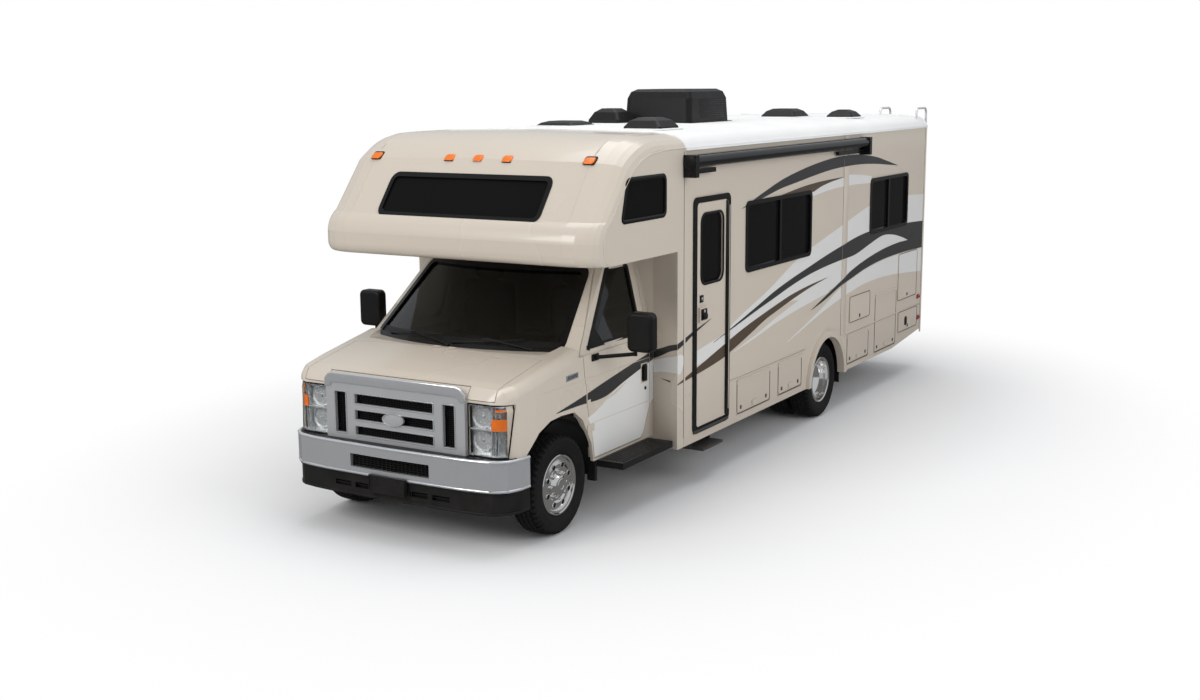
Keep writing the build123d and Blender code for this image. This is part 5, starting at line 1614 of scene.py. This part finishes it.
@dataclass
class Interior(Assembly):
    """The dark lining, dashboard pads, steering wheel rim and door cards of the cab."""

    wheel_centre: Triple = (0.43, 0.62, 1.26)
    wheel_way: Triple = (0.0, 1.0, 0.9)
    wheel_radius: float = 0.176
    wheel_lift: float = 0.0125

    def build(self) -> None:
        """Makes the lining, the engine's cover, the dashboard's pieces and the door cards."""
        bm = bmesh.new()
        add_box(bm, (-0.69, 0.69), (0.93, 1.395), (1.904, 1.917))
        add_box(bm, (-0.946, 0.946), (0.54, 1.395), (0.681, 0.687))
        soften(bm, 0.003, 2)
        self.piece("cab_lining", bm, CARPET)
        bm = bmesh.new()
        add_box(bm, (-0.337, 0.337), (0.19, 0.537), (0.688, 1.067))
        soften(bm, 0.045, 5)
        self.piece("engine_cover", bm, DASH)
        self._dashboard()
        self._steering()
        for side, name in SIDES:
            bm = bmesh.new()
            add_box(bm, (side * 0.934, side * 0.9494), (0.48, 1.3), (0.72, 1.262))
            add_box(bm, (side * 0.885, side * 0.936), (0.66, 1.14), (0.975, 1.025))
            add_box(bm, (side * 0.905, side * 0.936), (0.56, 1.2), (0.745, 0.845))
            soften(bm, 0.012, 3)
            self.piece(f"door_card_{name}", bm, DASH, f"cab_door_{name}")

    def _dashboard(self) -> None:
        """Makes the dashboard's pad, binnacle, vents and controls."""
        bm = bmesh.new()
        add_box(bm, (-0.822, 0.822), (0.31, 0.508), (1.285, 1.322))
        add_box(bm, (0.23, 0.63), (0.34, 0.515), (1.315, 1.372))
        soften(bm, 0.016, 4)
        add_box(bm, (-0.7, -0.22), (0.498, 0.506), (1.1, 1.2))
        add_box(bm, (-0.15, 0.18), (0.498, 0.51), (1.09, 1.28))
        soften(bm, 0.004, 2, 60)
        self.piece("dash_pad", bm, DASH)
        bm = bmesh.new()
        for x in (-0.76, -0.19, 0.205, 0.73):
            add_ring(bm, Face.FRONT, rect(x - 0.055, x + 0.055, 1.235, 1.285), 0.5, 0.006, 0.01,
                     0.012)
            for step in range(4):
                z = 1.243 + step * 0.01
                add_box(bm, (x - 0.048, x + 0.048), (0.501, 0.507), (z, z + 0.003))
        for x in (-0.07, 0.02, 0.11):
            add_rod(bm, (x, 0.505, 1.135), (x, 0.522, 1.135), 0.018, 0.015, 20)
        add_box(bm, (-0.1, 0.13), (0.505, 0.513), (1.185, 1.235))
        self.piece("dash_controls", bm, BLACK_PLASTIC)

    def _steering(self) -> None:
        """Makes the steering wheel's round rim, its pad and the stalks."""
        way = Vector(self.wheel_way).normalized()
        across = Vector((1.0, 0.0, 0.0))
        rise = way.cross(across)
        middle = (Vector(self.wheel_centre) + Vector((0.0, FRONT_AXLE_Y, 0.0))
                  + way * self.wheel_lift)
        bm = bmesh.new()
        ring = [middle + (across * math.cos(a) + rise * math.sin(a)) * self.wheel_radius
                for a in (2 * math.pi * i / 48 for i in range(48))]
        add_tube(bm, ring, 0.0165, closed=True, sides=4)
        add_spun(bm, [(-0.018, 0.0), (-0.018, 0.066), (0.012, 0.072), (0.026, 0.058), (0.032, 0.0)],
                 tuple(Vector(self.wheel_centre) + way * self.wheel_lift), way, 32)
        for turn in (-1, 1):
            start = middle - way * 0.09
            add_tube(bm, [start + across * turn * 0.03, start + across * turn * 0.15 + way * 0.03],
                     0.006)
        self.piece("steering_rim", bm, DASH)


# ---------------------------------------------------------------- coach trim
BAY_DOORS: tuple[tuple[str, int, float, float, float, float], ...] = (
    ("left_front", 1, 2.42, 3.12, 0.44, 0.73), ("left_middle", 1, 3.3, 3.85, 0.44, 0.73),
    ("left_rear", 1, 5.03, 5.65, 0.43, 0.72), ("left_tall", 1, 5.83, 6.5, 0.42, 1.03),
    ("right_front", -1, 2.42, 3.4, 0.44, 0.73), ("right_rear", -1, 5.1, 6.3, 0.43, 0.72))
CAP_SLOPE = (0.126, 2.29, 0.7677)
BROW_SLOPE = (0.4285, 2.684, 1.112)


@dataclass
class CoachTrim(Assembly):
    """The beads, rails, strips and seams of the coach's skin."""

    cap_side: Outline = (
        (0.262, 1.984), (0.195, 2.005), (0.172, 2.065), (0.172, 2.14), (0.198, 2.218),
        (0.278, 2.292), (0.43, 2.468), (0.6, 2.632), (0.72, 2.7), (0.86, 2.742), (1.13, 2.767),
        (1.425, 2.768))
    cap_front: Outline = (
        (0.11, 1.972), (0.042, 2.002), (0.02, 2.065), (0.02, 2.14), (0.046, 2.218), (0.126, 2.29),
        (0.44, 2.699), (0.54, 2.78), (0.66, 2.834), (0.8, 2.868), (0.98, 2.882), (1.425, 2.882))
    roof_drop: Outline = ((0.0, 0.0), (1.0, 0.018), (1.1, 0.027), (1.18, 0.046), (1.225, 0.07),
                          (1.252, 0.098), (1.262, 0.125))

    def build(self) -> None:
        """Makes the trim of both sides, the roof's seams, the rubbers and the painted shade lines
        round the doors.
        """
        for side, name in SIDES:
            self._side(side, name)
        self._seams()
        self._gaskets()
        self._shade_lines()

    def _shade_lines(self) -> None:
        """Makes the painted shade lines round the baggage doors and service lids, and beside the
        strips.
        """
        # A dark ring at each baggage door's edge: painted shade of the gap round it.
        for name, side, y0, y1, z0, z1 in BAY_DOORS:
            bm = bmesh.new()
            outline = rect(y0 + 0.002, y1 - 0.002, z0 + 0.002, z1 - 0.002)
            add_ring(bm, Face.SIDE, outline, side * 1.2645, 0.006, side * 0.003, 0.032)
            self.piece(f"bay_seal_{name}", bm, SEAL_AND_SHADE, f"bay_door_{name}")
        bm = bmesh.new()
        # Dark rings at each service lid's edge: painted shade of the gap round it.
        for side, y0, y1, z0, z1 in SERVICE_LIDS:
            outline = rect(y0 + 0.001, y1 - 0.001, z0 + 0.001, z1 - 0.001)
            add_ring(bm, Face.SIDE, outline, side * 1.2725, 0.006, side * 0.003, 0.035)
        # Painted shadow lines under the belt mouldings, beside the corner posts and beside the trim
        # strip's edges.
        for side in (1, -1):
            x0, x1 = side * 1.264, side * 1.2668
            for y0, y1, z in BELT_RUNS:
                add_box(bm, (x0, x1), (y0, y1), (z - 0.0095, z - 0.0055))
            for y in (1.4165, 1.4435, 7.324):
                add_box(bm, (x0, x1), (y - 0.0015, y + 0.0015), (0.45, 2.74))
            for y in (TRIM_STRIP[0] - 0.0015, TRIM_STRIP[1] + 0.0015):
                add_box(bm, (x0, x1), (y - 0.0015, y + 0.0015), (0.76, 2.74))
        self.piece("painted_shade_lines", bm, SEAL_AND_SHADE)

    def _side(self, side: int, name: str) -> None:
        """Makes one side's rails, strips and beads.

        Args:
            side: 1 for the left, -1 for the right.
            name: the side's name.
        """
        x = side * WALL_X
        bm = bmesh.new()
        add_box(bm, (x - side * 0.004, x + side * 0.01), (1.435, 7.365), (2.748, 2.772))
        add_box(bm, (x, x + side * 0.016), (1.435, 7.365), (2.746, 2.752))
        soften(bm, 0.002, 2)
        self.piece(f"drip_rail_{name}", bm, MEMBRANE)
        bm = bmesh.new()
        add_box(bm, (x - side * 0.002, x + side * 0.0035), TRIM_STRIP, (0.755, 2.745))
        add_box(bm, (x - side * 0.002, x + side * 0.004), (1.418, 1.442), (0.378, 2.765))
        add_box(bm, (x - side * 0.002, x + side * 0.004), (7.325, 7.368), (0.42, 2.745))
        for y0, y1, z in (*BELT_RUNS, (1.445, 1.565, 0.79)):
            add_box(bm, (x - side * 0.002, x + side * 0.0045), (y0, y1), (z - 0.006, z + 0.006))
        soften(bm, 0.0016, 2)
        line = [Vector((x - side * 0.003, y + FRONT_AXLE_Y, z)) for y, z in self.cap_side]
        add_tube(bm, line, 0.0075)
        line = [Vector((side * 1.0, y + FRONT_AXLE_Y + 0.0015, z)) for y, z in self.cap_front]
        add_tube(bm, line, 0.0035)
        self.piece(f"wall_beads_{name}", bm, BEIGE_SKIN, crease=50)

    def _seams(self) -> None:
        """Makes the sealed seams across the roof."""
        bm = bmesh.new()
        for y in (1.432, 7.33):
            half = [Vector((x, y + FRONT_AXLE_Y, 2.9005 - drop)) for x, drop in self.roof_drop]
            line = [Vector((-p.x, p.y, p.z)) for p in reversed(half[1:])] + half
            add_tube(bm, line, 0.007)
        self.piece("roof_seams", bm, MEMBRANE, crease=50)

    def _gaskets(self) -> None:
        """Makes the rubbers of the cap's and the door's windows, and the cover at the hinge."""
        bm = bmesh.new()
        add_ring(bm, Face.FRONT, rect(-0.748, 0.748, 2.272, 2.598), 0.0, 0.034, 0.016, 0.068)
        lean(bm, CAP_SLOPE, 0.006)
        self.piece("cap_window_rubber", bm, BLACK_GLOSS, crease=50)
        bm = bmesh.new()
        outline = ((0.412, 2.256), (0.506, 2.594), (1.124, 2.594), (1.124, 2.256))
        for side in (1, -1):
            add_ring(bm, Face.SIDE, outline, side * 1.2555, 0.032, side * 0.013, 0.06)
        soften(bm, 0.002, 2, 60)
        self.piece("bunk_window_rubbers", bm, BLACK_GLOSS, crease=50)
        bm = bmesh.new()
        add_ring(bm, Face.SIDE, rect(1.698, 2.132, 1.648, 2.242), 1.2675, 0.022, 0.006, 0.088)
        soften(bm, 0.002, 2, 60)
        self.piece("entry_window_rubber", bm, BLACK_GLOSS, "entry_door", 50)
        bm = bmesh.new()
        add_box(bm, (1.2765, 1.284), (2.1685, 2.214), (0.538, 2.272))
        add_box(bm, (1.2675, 1.2772), (2.1685, 2.2), (0.5, 2.31))
        soften(bm, 0.003, 3)
        self.piece("entry_hinge_cover", bm, BLACK_GLOSS, "entry_door", 50)


@dataclass
class WindowBars(Assembly):
    """The slider bars, sills and drain slots of the side windows."""

    back: float = 1.247
    bar: float = 1.262
    sash: float = 1.258
    drains: Pair = (0.2, 0.8)

    def build(self) -> None:
        """Makes the bars of every side window."""
        bm = bmesh.new()
        for side, y0, y1, z0, z1, middle in SIDE_WINDOWS:
            add_box(bm, (side * self.back, side * self.bar), (middle - 0.016, middle + 0.016),
                    (z0 + 0.02, z1 - 0.02))
            for z in (z0 + 0.024, z1 - 0.044):
                add_box(bm, (side * self.back, side * self.sash), (y0 + 0.02, middle),
                        (z, z + 0.02))
            add_box(bm, (side * self.back, side * self.sash), (y0 + 0.022, y0 + 0.04),
                    (z0 + 0.03, z1 - 0.03))
            for share in self.drains:
                y = y0 + (y1 - y0) * share
                add_box(bm, (side * 1.2745, side * 1.2775), (y - 0.02, y + 0.02),
                        (z0 + 0.004, z0 + 0.012))
        soften(bm, 0.0015, 2)
        self.piece("window_bars", bm, BLACK_GLOSS)


@dataclass
class Latches(Assembly):
    """The locks of the baggage doors and lids, and the entry door's handle."""

    inset: float = 0.085
    height: float = 0.052
    lid_height: float = 0.045

    def build(self) -> None:
        """Makes the locks, the vents and the handle."""
        for name, side, y0, y1, z0, _ in BAY_DOORS:
            bm, rims = bmesh.new(), bmesh.new()
            for y in (y0 + self.inset, y1 - self.inset):
                self._lock(bm, rims, side, WALL_X, y, z0 + self.height)
            self.piece(f"bay_locks_{name}", bm, BLACK_PLASTIC, f"bay_door_{name}")
            self.piece(f"bay_lock_rims_{name}", rims, CHROME, f"bay_door_{name}")
        bm, rims = bmesh.new(), bmesh.new()
        for side, y0, y1, z0, z1 in SERVICE_LIDS:
            self._lock(bm, rims, side, LID_X, (y0 + y1) / 2, z0 + self.lid_height)
        self.piece("lid_locks", bm, BLACK_PLASTIC)
        self.piece("lid_lock_rims", rims, CHROME)
        bm = bmesh.new()
        add_plate(bm, Face.SIDE, rect(6.775, 6.845, 0.575, 0.675), 1.272, 0.008, 0.03)
        for side, y0, y1, z0, z1 in SERVICE_LIDS[3:]:
            for step in range(10):
                z = z0 + 0.1 + step * 0.028
                add_box(bm, (side * 1.272, side * 1.278), (y0 + 0.06, y1 - 0.06), (z, z + 0.008))
        soften(bm, 0.001, 2)
        self.piece("lid_vents", bm, BLACK_PLASTIC)
        self._handle()

    @staticmethod
    def _lock(bm: Mesh, rims: Mesh, side: int, x: float, y: float, z: float) -> None:
        """Adds one round lock: a dark body and its bright key ring.

        Args:
            bm: the mesh that the dark body joins.
            rims: the mesh that the key rings join.
            side: 1 for the left, -1 for the right.
            x: where it stands across.
            y: its station.
            z: its height.
        """
        out = Vector((side, 0, 0))
        add_spun(bm, [(-0.002, 0.018), (0.003, 0.018), (0.0055, 0.0155), (0.006, 0.0105),
                      (0.006, 0.0)], (side * x, y, z), out, 24)
        add_spun(rims, [(0.005, 0.0098), (0.0085, 0.0094), (0.009, 0.006), (0.0075, 0.0052),
                        (0.0075, 0.0)], (side * x, y, z), out, 20)

    def _handle(self) -> None:
        """Makes the entry door's paddle, key and bolt."""
        bm = bmesh.new()
        add_box(bm, (1.292, 1.3), (1.668, 1.772), (1.374, 1.466))
        add_box(bm, (1.299, 1.312), (1.684, 1.76), (1.384, 1.424))
        add_box(bm, (1.268, 1.276), (1.69, 1.75), (1.515, 1.575))
        soften(bm, 0.004, 3)
        self.piece("entry_handle", bm, BLACK_PLASTIC, "entry_door")
        bm = bmesh.new()
        for z, x in ((1.446, 1.299), (1.545, 1.275)):
            add_spun(bm, [(-0.001, 0.013), (0.004, 0.013), (0.006, 0.01), (0.006, 0.0)],
                     (x, 1.72, z), Vector((1, 0, 0)), 20)
        self.piece("entry_keys", bm, CHROME, "entry_door")
        bm = bmesh.new()
        add_box(bm, (1.262, 1.2775), (1.585, 2.235), (0.445, 0.47))
        for z in (0.7, 1.4, 2.1):
            add_rod(bm, (1.271, 2.212, z - 0.045), (1.271, 2.212, z + 0.045), 0.0085, sides=14)
        soften(bm, 0.002, 2, 50)
        self.piece("entry_threshold", bm, STEP_METAL)


@dataclass
class Lamps(Assembly):
    """The clearance, side and tail lamps with their bases."""

    clearance: tuple[float, ...] = (-0.987, -0.268, 0.0, 0.268, 0.987)
    rear_marks: tuple[float, ...] = (-1.1, -0.12, 0.0, 0.12, 1.1)

    def build(self) -> None:
        """Makes the bases, the red lenses and the tail lamps."""
        bases, red = bmesh.new(), bmesh.new()
        for side in (1, -1):
            for y, z in ((7.24, 0.844), (7.27, 0.6)):
                add_box(bases, (side * 1.2655, side * 1.2695), (y - 0.042, y + 0.042),
                        (z - 0.024, z + 0.024))
                add_box(red, (side * 1.266, side * 1.2815), (y - 0.0365, y + 0.0365),
                        (z - 0.0195, z + 0.0195))
        for x in self.rear_marks:
            add_box(bases, (x - 0.042, x + 0.042), (7.3695, 7.374), (2.66, 2.708))
            add_box(red, (x - 0.036, x + 0.036), (7.371, 7.388), (2.665, 2.703))
        soften(red, 0.006, 3)
        soften(bases, 0.0015, 2)
        self.piece("lamp_bases", bases, BLACK_PLASTIC)
        self.piece("red_markers", red, RED)
        self._tails()
        self._cap_lamps()

    def _tails(self) -> None:
        """Makes the tall tail lamps: bezel, red lens, clear reversing lens and ribs."""
        bezel, red, clear = bmesh.new(), bmesh.new(), bmesh.new()
        for side in (1, -1):
            x0, x1 = sorted((side * 1.075, side * 1.225))
            add_ring(bezel, Face.FRONT, rect(x0, x1, 0.865, 1.195), 7.3705, 0.016, 0.022, 0.02)
            x0, x1 = x0 + 0.012, x1 - 0.012
            add_box(red, (x0, x1), (7.372, 7.3985), (0.985, 1.183))
            add_box(red, (x0, x1), (7.372, 7.3985), (0.877, 0.918))
            add_box(clear, (x0, x1), (7.372, 7.3985), (0.92, 0.983))
            for step in range(7):
                z = 1.005 + 0.025 * step
                add_box(red, (x0 + 0.008, x1 - 0.008), (7.398, 7.4005), (z, z + 0.004))
        for bm in (bezel, red, clear):
            soften(bm, 0.003, 2, 50)
        self.piece("tail_bezels", bezel, CHROME)
        self.piece("tail_red", red, RED)
        self.piece("tail_clear", clear, LENS_WHITE)

    def _cap_lamps(self) -> None:
        """Makes the five lamps on the cap's brow and their bases."""
        bases, lenses = bmesh.new(), bmesh.new()
        for x in self.clearance:
            for bm, half, low, high, depth in ((bases, 0.052, 2.683, 2.743, 0.012),
                                               (lenses, 0.044, 2.69, 2.736, 0.03)):
                add_plate(bm, Face.FRONT, rect(x - half, x + half, low, high), 0.0, depth, 0.018)
        soften(lenses, 0.008, 3, 50)
        for bm in (bases, lenses):
            lean(bm, BROW_SLOPE, 0.004)
        self.piece("brow_lamp_bases", bases, BLACK_PLASTIC)
        lens = self.piece("brow_lamps", lenses, AMBER)
        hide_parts("lamps")


@dataclass
class RoofGear(Assembly):
    """The louvres of the air conditioner, the rims of the vents and the awning's details."""

    vents: tuple[Triple, ...] = (
        (-0.4, 2.35, 0.21), (-0.33, 3.05, 0.17), (0.655, 2.0, 0.18), (0.3, 5.6, 0.2),
        (0.82, 5.95, 0.15))
    cooler_foot: float = 2.885
    cooler_rise: float = 0.235
    awning: Pair = (1.325, 2.66)
    awning_ends: Pair = (1.47, 5.185)
    awning_radius: float = 0.0475
    ridge_lift: float = 0.0007

    def build(self) -> None:
        """Makes the louvres, rims and awning pieces."""
        bm = bmesh.new()
        for side in (1, -1):
            for step in range(9):
                z = 2.94 + step * 0.02
                x = 0.35 - 0.012 * (z - self.cooler_foot) / self.cooler_rise
                add_box(bm, (side * (x - 0.004), side * (x + 0.004)), (3.52, 4.02), (z, z + 0.007))
        for step in range(8):
            z = 2.94 + step * 0.022
            y = 4.15 - 0.016 * (z - self.cooler_foot) / self.cooler_rise
            add_box(bm, (-0.25, 0.25), (y - 0.004, y + 0.004), (z, z + 0.008))
        add_box(bm, (-0.365, 0.365), (3.285, 4.165), (2.884, 2.902))
        soften(bm, 0.0015, 2)
        self.piece("cooler_louvres", bm, BLACK_PLASTIC)
        bm = bmesh.new()
        for x, y, half in self.vents:
            base = 2.9 - 0.018 * abs(x)
            add_box(bm, (x - half - 0.02, x + half + 0.02), (y - half - 0.02, y + half + 0.02),
                    (base - 0.004, base + 0.01))
        soften(bm, 0.004, 2)
        self.piece("vent_flanges", bm, MEMBRANE)
        self._awning()

    def _awning(self) -> None:
        """Makes the awning's rolled cloth with its ridges, and the end caps."""
        bm = bmesh.new()
        (x0, z0), radius = self.awning, self.awning_radius
        length = self.awning_ends[1] - self.awning_ends[0]
        add_spun(bm, [(0.0, 0.0), (0.0, radius), (length, radius), (length, 0.0)],
                 (x0, self.awning_ends[0], z0), Vector((0, 1, 0)), 28)
        reach = radius + self.ridge_lift
        for step in range(3):
            angle = math.radians(200 + 24 * step)
            x, z = x0 + reach * math.cos(angle), z0 + reach * math.sin(angle)
            add_rod(bm, (x, 1.49, z), (x, 5.165, z), 0.0022, sides=8)
        self.piece("awning_roll", bm, AWNING_CLOTH, crease=50)
        bm = bmesh.new()
        for y, way in ((1.398, -1), (5.252, 1)):
            add_spun(bm, [(-0.004, 0.055), (0.004, 0.055), (0.01, 0.047), (0.012, 0.02),
                          (0.012, 0.0)], (x0, y, z0), Vector((0, way, 0)), 28)
        self.piece("awning_caps", bm, BLACK_PLASTIC)


@dataclass
class Rear(Assembly):
    """The rear window's rubber, blank plate bracket, bumper ends and the running boards' grips."""

    def build(self) -> None:
        """Makes the rear wall's pieces and the grips."""
        bm = bmesh.new()
        add_ring(bm, Face.FRONT, rect(-0.538, 0.538, 1.542, 2.138), 7.362, 0.034, 0.016, 0.068)
        soften(bm, 0.003, 2, 50)
        self.piece("rear_window_rubber", bm, BLACK_GLOSS, crease=50)
        bm = bmesh.new()
        add_plate(bm, Face.FRONT, rect(-0.17, 0.17, 0.8, 0.98), 7.3695, 0.006, 0.02)
        add_box(bm, (-0.05, 0.05), (7.37, 7.395), (0.985, 1.005))
        for side in (1, -1):
            add_box(bm, (side * 1.18, side * 1.245), (7.368, 7.444), (0.496, 0.624))
        soften(bm, 0.004, 2, 50)
        self.piece("rear_fittings", bm, BLACK_PLASTIC)
        bm = bmesh.new()
        for side in (1, -1):
            for step in range(7):
                x = side * (1.035 + step * 0.028)
                add_box(bm, (x - 0.006, x + 0.006), (0.54, 1.26), (0.4495, 0.454))
        soften(bm, 0.0015, 2)
        self.piece("board_grips", bm, BLACK_PLASTIC)


# ---------------------------------------------------------------- seats
@dataclass
class Seats(Assembly):
    """Two cloth captain's chairs with crowned, stitched cushions on steel bases."""

    places: Pair = (0.43, -0.43)
    seams: Pair = (-0.55, 0.55)
    seam_width: float = 0.06
    seam_depth: float = 0.9
    corner_sink: float = 0.35

    def build(self) -> None:
        """Makes both seats."""
        for x, name in zip(self.places, ("left", "right")):
            base = bmesh.new()
            add_box(base, (x - 0.19, x + 0.19), (0.8, 1.16), (0.682, 0.93))
            add_box(base, (x - 0.215, x + 0.215), (0.76, 1.19), (0.925, 0.962))
            soften(base, 0.012, 3)
            for post in (x + 0.06, x - 0.06):
                add_rod(base, (post, 1.18, 1.6), (post, 1.18, 1.72), 0.007, sides=12)
            made = self.piece(f"seat_base_{name}", base, BLACK_PLASTIC)
            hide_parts("seats")
            self._cushion(f"seat_cushion_{name}", (x - 0.245, x + 0.245), (0.705, 1.19),
                          (0.962, 1.085), 0.04, 0.012, 2)
            self._cushion(f"seat_back_{name}", (x - 0.235, x + 0.235), (1.115, 1.235),
                          (1.075, 1.655), 0.045, 0.012, 1)
            self._cushion(f"seat_head_{name}", (x - 0.13, x + 0.13), (1.135, 1.225), (1.675, 1.835),
                          0.04, 0.008)
            for side in (1, -1):
                ends = sorted((x + side * 0.215, x + side * 0.275))
                self._cushion(f"seat_arm_{name}_{'out' if side > 0 else 'in'}", (ends[0], ends[1]),
                              (0.86, 1.17), (1.185, 1.235), 0.02, 0.003)

    def _cushion(self, name: str, xs: Pair, ys: Pair, zs: Pair, rounding: float, crown: float,
                 seamed: int | None = None) -> None:
        """Makes one stuffed cushion with sewn channels.

        Args:
            name: the piece's name.
            xs: its sides.
            ys: its front and rear station.
            zs: its bottom and top.
            rounding: how round its edges are.
            crown: how far its faces swell.
            seamed: the axis that its sewn face looks along, or None.
        """
        bm = bmesh.new()
        add_box(bm, xs, ys, zs)
        soften(bm, rounding, 4)
        bmesh.ops.subdivide_edges(
            bm, edges=[e for e in bm.edges if e.calc_length() > 0.05], cuts=8, use_grid_fill=True)
        low = Vector((xs[0], ys[0] + FRONT_AXLE_Y, zs[0]))
        high = Vector((xs[1], ys[1] + FRONT_AXLE_Y, zs[1]))
        middle, half = (low + high) / 2, (high - low) / 2
        for vert in bm.verts:
            share = [(vert.co[i] - middle[i]) / half[i] for i in range(3)]
            for axis in range(3):
                a, b = (share[i] for i in range(3) if i != axis)
                swell = crown * (1 - a * a) * (1 - b * b)
                vert.co[axis] += swell * share[axis]
                vert.co[axis] -= self.corner_sink * crown * share[axis] * (a * a * b * b)
            if seamed:
                near = sum(math.exp(-((share[0] - seam) / self.seam_width) ** 2)
                           for seam in self.seams)
                vert.co[seamed] -= self.seam_depth * crown * near * share[seamed]
        made = self.piece(name, bm, SEAT_CLOTH, crease=80)
        smooth = made.modifiers.new("smooth", "SUBSURF")
        smooth.levels = smooth.render_levels = 1


# ---------------------------------------------------------------- floor, light and camera
@dataclass(frozen=True)
class Viewpoint:
    """Where the camera stands and how it looks, angles in degrees."""

    place: Triple = (6.458, -12.035, 3.288)
    yaw: float = 30.579
    pitch: float = 10.546
    roll: float = -0.39
    lens: float = 43.43

    def build(self) -> None:
        """Creates the camera and makes it the scene's."""
        yaw, pitch, roll = (math.radians(a) for a in (self.yaw, self.pitch, self.roll))
        back = Vector((math.sin(yaw) * math.cos(pitch), -math.cos(yaw) * math.cos(pitch),
                       math.sin(pitch)))
        level = Vector((math.cos(yaw), math.sin(yaw), 0.0))
        rise = back.cross(level)
        right = level * math.cos(roll) + rise * math.sin(roll)
        up = rise * math.cos(roll) - level * math.sin(roll)
        data = bpy.data.cameras.new("show_camera")
        data.lens = self.lens
        data.sensor_width = 36.0
        data.clip_end = 200.0
        camera = bpy.data.objects.new("show_camera", data)
        bpy.context.scene.collection.objects.link(camera)
        turn = Matrix((right, up, back)).transposed().to_4x4()
        camera.matrix_world = Matrix.Translation(self.place) @ turn
        bpy.context.scene.camera = camera


@dataclass(frozen=True)
class SoftBox:
    """A square studio lamp."""

    name: str
    place: Triple
    target: Triple
    size: float
    power: float
    tint: Triple = (1.0, 1.0, 1.0)
    mirrored: bool = True

    def build(self) -> None:
        """Hangs the lamp and turns it to its target."""
        data = bpy.data.lights.new(self.name, "AREA")
        data.shape = "SQUARE"
        data.size = self.size
        data.energy = self.power
        data.color = self.tint
        lamp = bpy.data.objects.new(self.name, data)
        lamp.visible_glossy = self.mirrored
        bpy.context.scene.collection.objects.link(lamp)
        way = Vector(self.target) - Vector(self.place)
        turn = way.to_track_quat("-Z", "Y").to_matrix().to_4x4()
        lamp.matrix_world = Matrix.Translation(self.place) @ turn


@dataclass
class Studio:
    """The pale floor, the soft lamps and the white surround."""

    floor_half: float = 60.0
    surround: float = 0.55
    fade: Pair = (2.6, 5.2)
    mirrored: float = 0.15
    lamps: tuple[SoftBox, ...] = (
        SoftBox("key", (-4.0, -15.0, 9.0), (0.0, -1.5, 1.2), 7.0, 900.0, (1.0, 0.98, 0.95)),
        SoftBox("side_fill", (13.0, -3.0, 6.5), (0.0, 0.5, 1.4), 9.0, 560.0, mirrored=False),
        SoftBox("top", (0.0, 1.0, 12.0), (0.0, 1.0, 0.0), 10.0, 700.0))

    def build(self) -> None:
        """Lays the floor, hangs the lamps and sets the surround and the view."""
        bm = bmesh.new()
        bmesh.ops.create_grid(bm, x_segments=1, y_segments=1, size=self.floor_half)
        mesh = bpy.data.meshes.new("studio_floor")
        bm.to_mesh(mesh)
        bm.free()
        mesh.materials.append(self._floor_material())
        floor = bpy.data.objects.new("studio_floor", mesh)
        bpy.context.scene.collection.objects.link(floor)
        for lamp in self.lamps:
            lamp.build()
        self._surround()
        bpy.context.scene.view_settings.view_transform = "Standard"

    def _floor_material(self) -> bpy.types.Material:
        """A matt pale floor that fades to white with distance.

        Returns:
            The material.
        """
        made = FLOOR_PAPER.material()
        tree = made.node_tree
        matt = tree.nodes["Principled BSDF"]
        matt.inputs["Specular IOR Level"].default_value = 0.0
        place = add_node(tree, "TexCoord")["Object"]
        oval = add_node(tree, "Mapping", {"Vector": place}, {"Scale": (1.0, 0.72, 0.0)})["Vector"]
        far = add_node(tree, "VectorMath", {0: oval}, operation="LENGTH")["Value"]
        fade = add_node(
            tree, "MapRange", {"Value": far}, {"From Min": self.fade[0], "From Max": self.fade[1]},
            interpolation_type="SMOOTHSTEP")["Result"]
        ray = add_node(tree, "LightPath")
        seen = add_node(tree, "Math", {0: fade, 1: ray["Is Camera Ray"]}, operation="MULTIPLY")[0]
        dark = add_node(tree, "Emission", values={"Strength": self.mirrored})[0]
        mirror = add_node(
            tree, "MixShader", {0: ray["Is Glossy Ray"], 1: matt.outputs[0], 2: dark})[0]
        blend = add_node(tree, "MixShader",
                         {0: seen, 1: mirror, 2: add_node(tree, "Emission")[0]})[0]
        tree.links.new(blend, tree.nodes["Material Output"].inputs["Surface"])
        return made

    def _surround(self) -> None:
        """Sets a soft grey sky that shows white to the eye and through glass."""
        world = bpy.data.worlds.new("surround")
        bpy.context.scene.world = world
        world.use_nodes = True
        tree = world.node_tree
        tree.nodes.clear()
        lit = add_node(tree, "Background",
                       values={"Color": (0.93, 0.96, 1.0, 1), "Strength": self.surround})
        seen = add_node(tree, "Background", values={"Color": (1, 1, 1, 1), "Strength": 1.0})
        ray = add_node(tree, "LightPath")
        either = add_node(tree, "Math", {0: ray["Is Camera Ray"], 1: ray["Is Transmission Ray"]},
                          operation="MAXIMUM")
        mix = add_node(tree, "MixShader", {0: either[0], 1: lit[0], 2: seen[0]})
        add_node(tree, "OutputWorld", {"Surface": mix[0]})


ASSEMBLIES: tuple[type[Assembly], ...] = (
    Graphics, Windscreen, Headlamps, Grille, Bumper, Tyres, WheelCovers, CabSides, Interior, Seats,
    CoachTrim, WindowBars, Latches, Lamps, RoofGear, Rear)


def main() -> None:
    """Loads the frame, builds every sub-assembly in order and logs the pieces it made."""
    logging.basicConfig(level=logging.INFO, format="%(message)s")
    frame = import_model()
    Viewpoint().build()
    Studio().build()
    dress_nodes(frame)
    for kind in ASSEMBLIES:
        assembly = kind()
        assembly.build()
        LOG.info("%s: %s", kind.__name__, ", ".join(assembly.made))


if __name__ == "__main__":
    main()
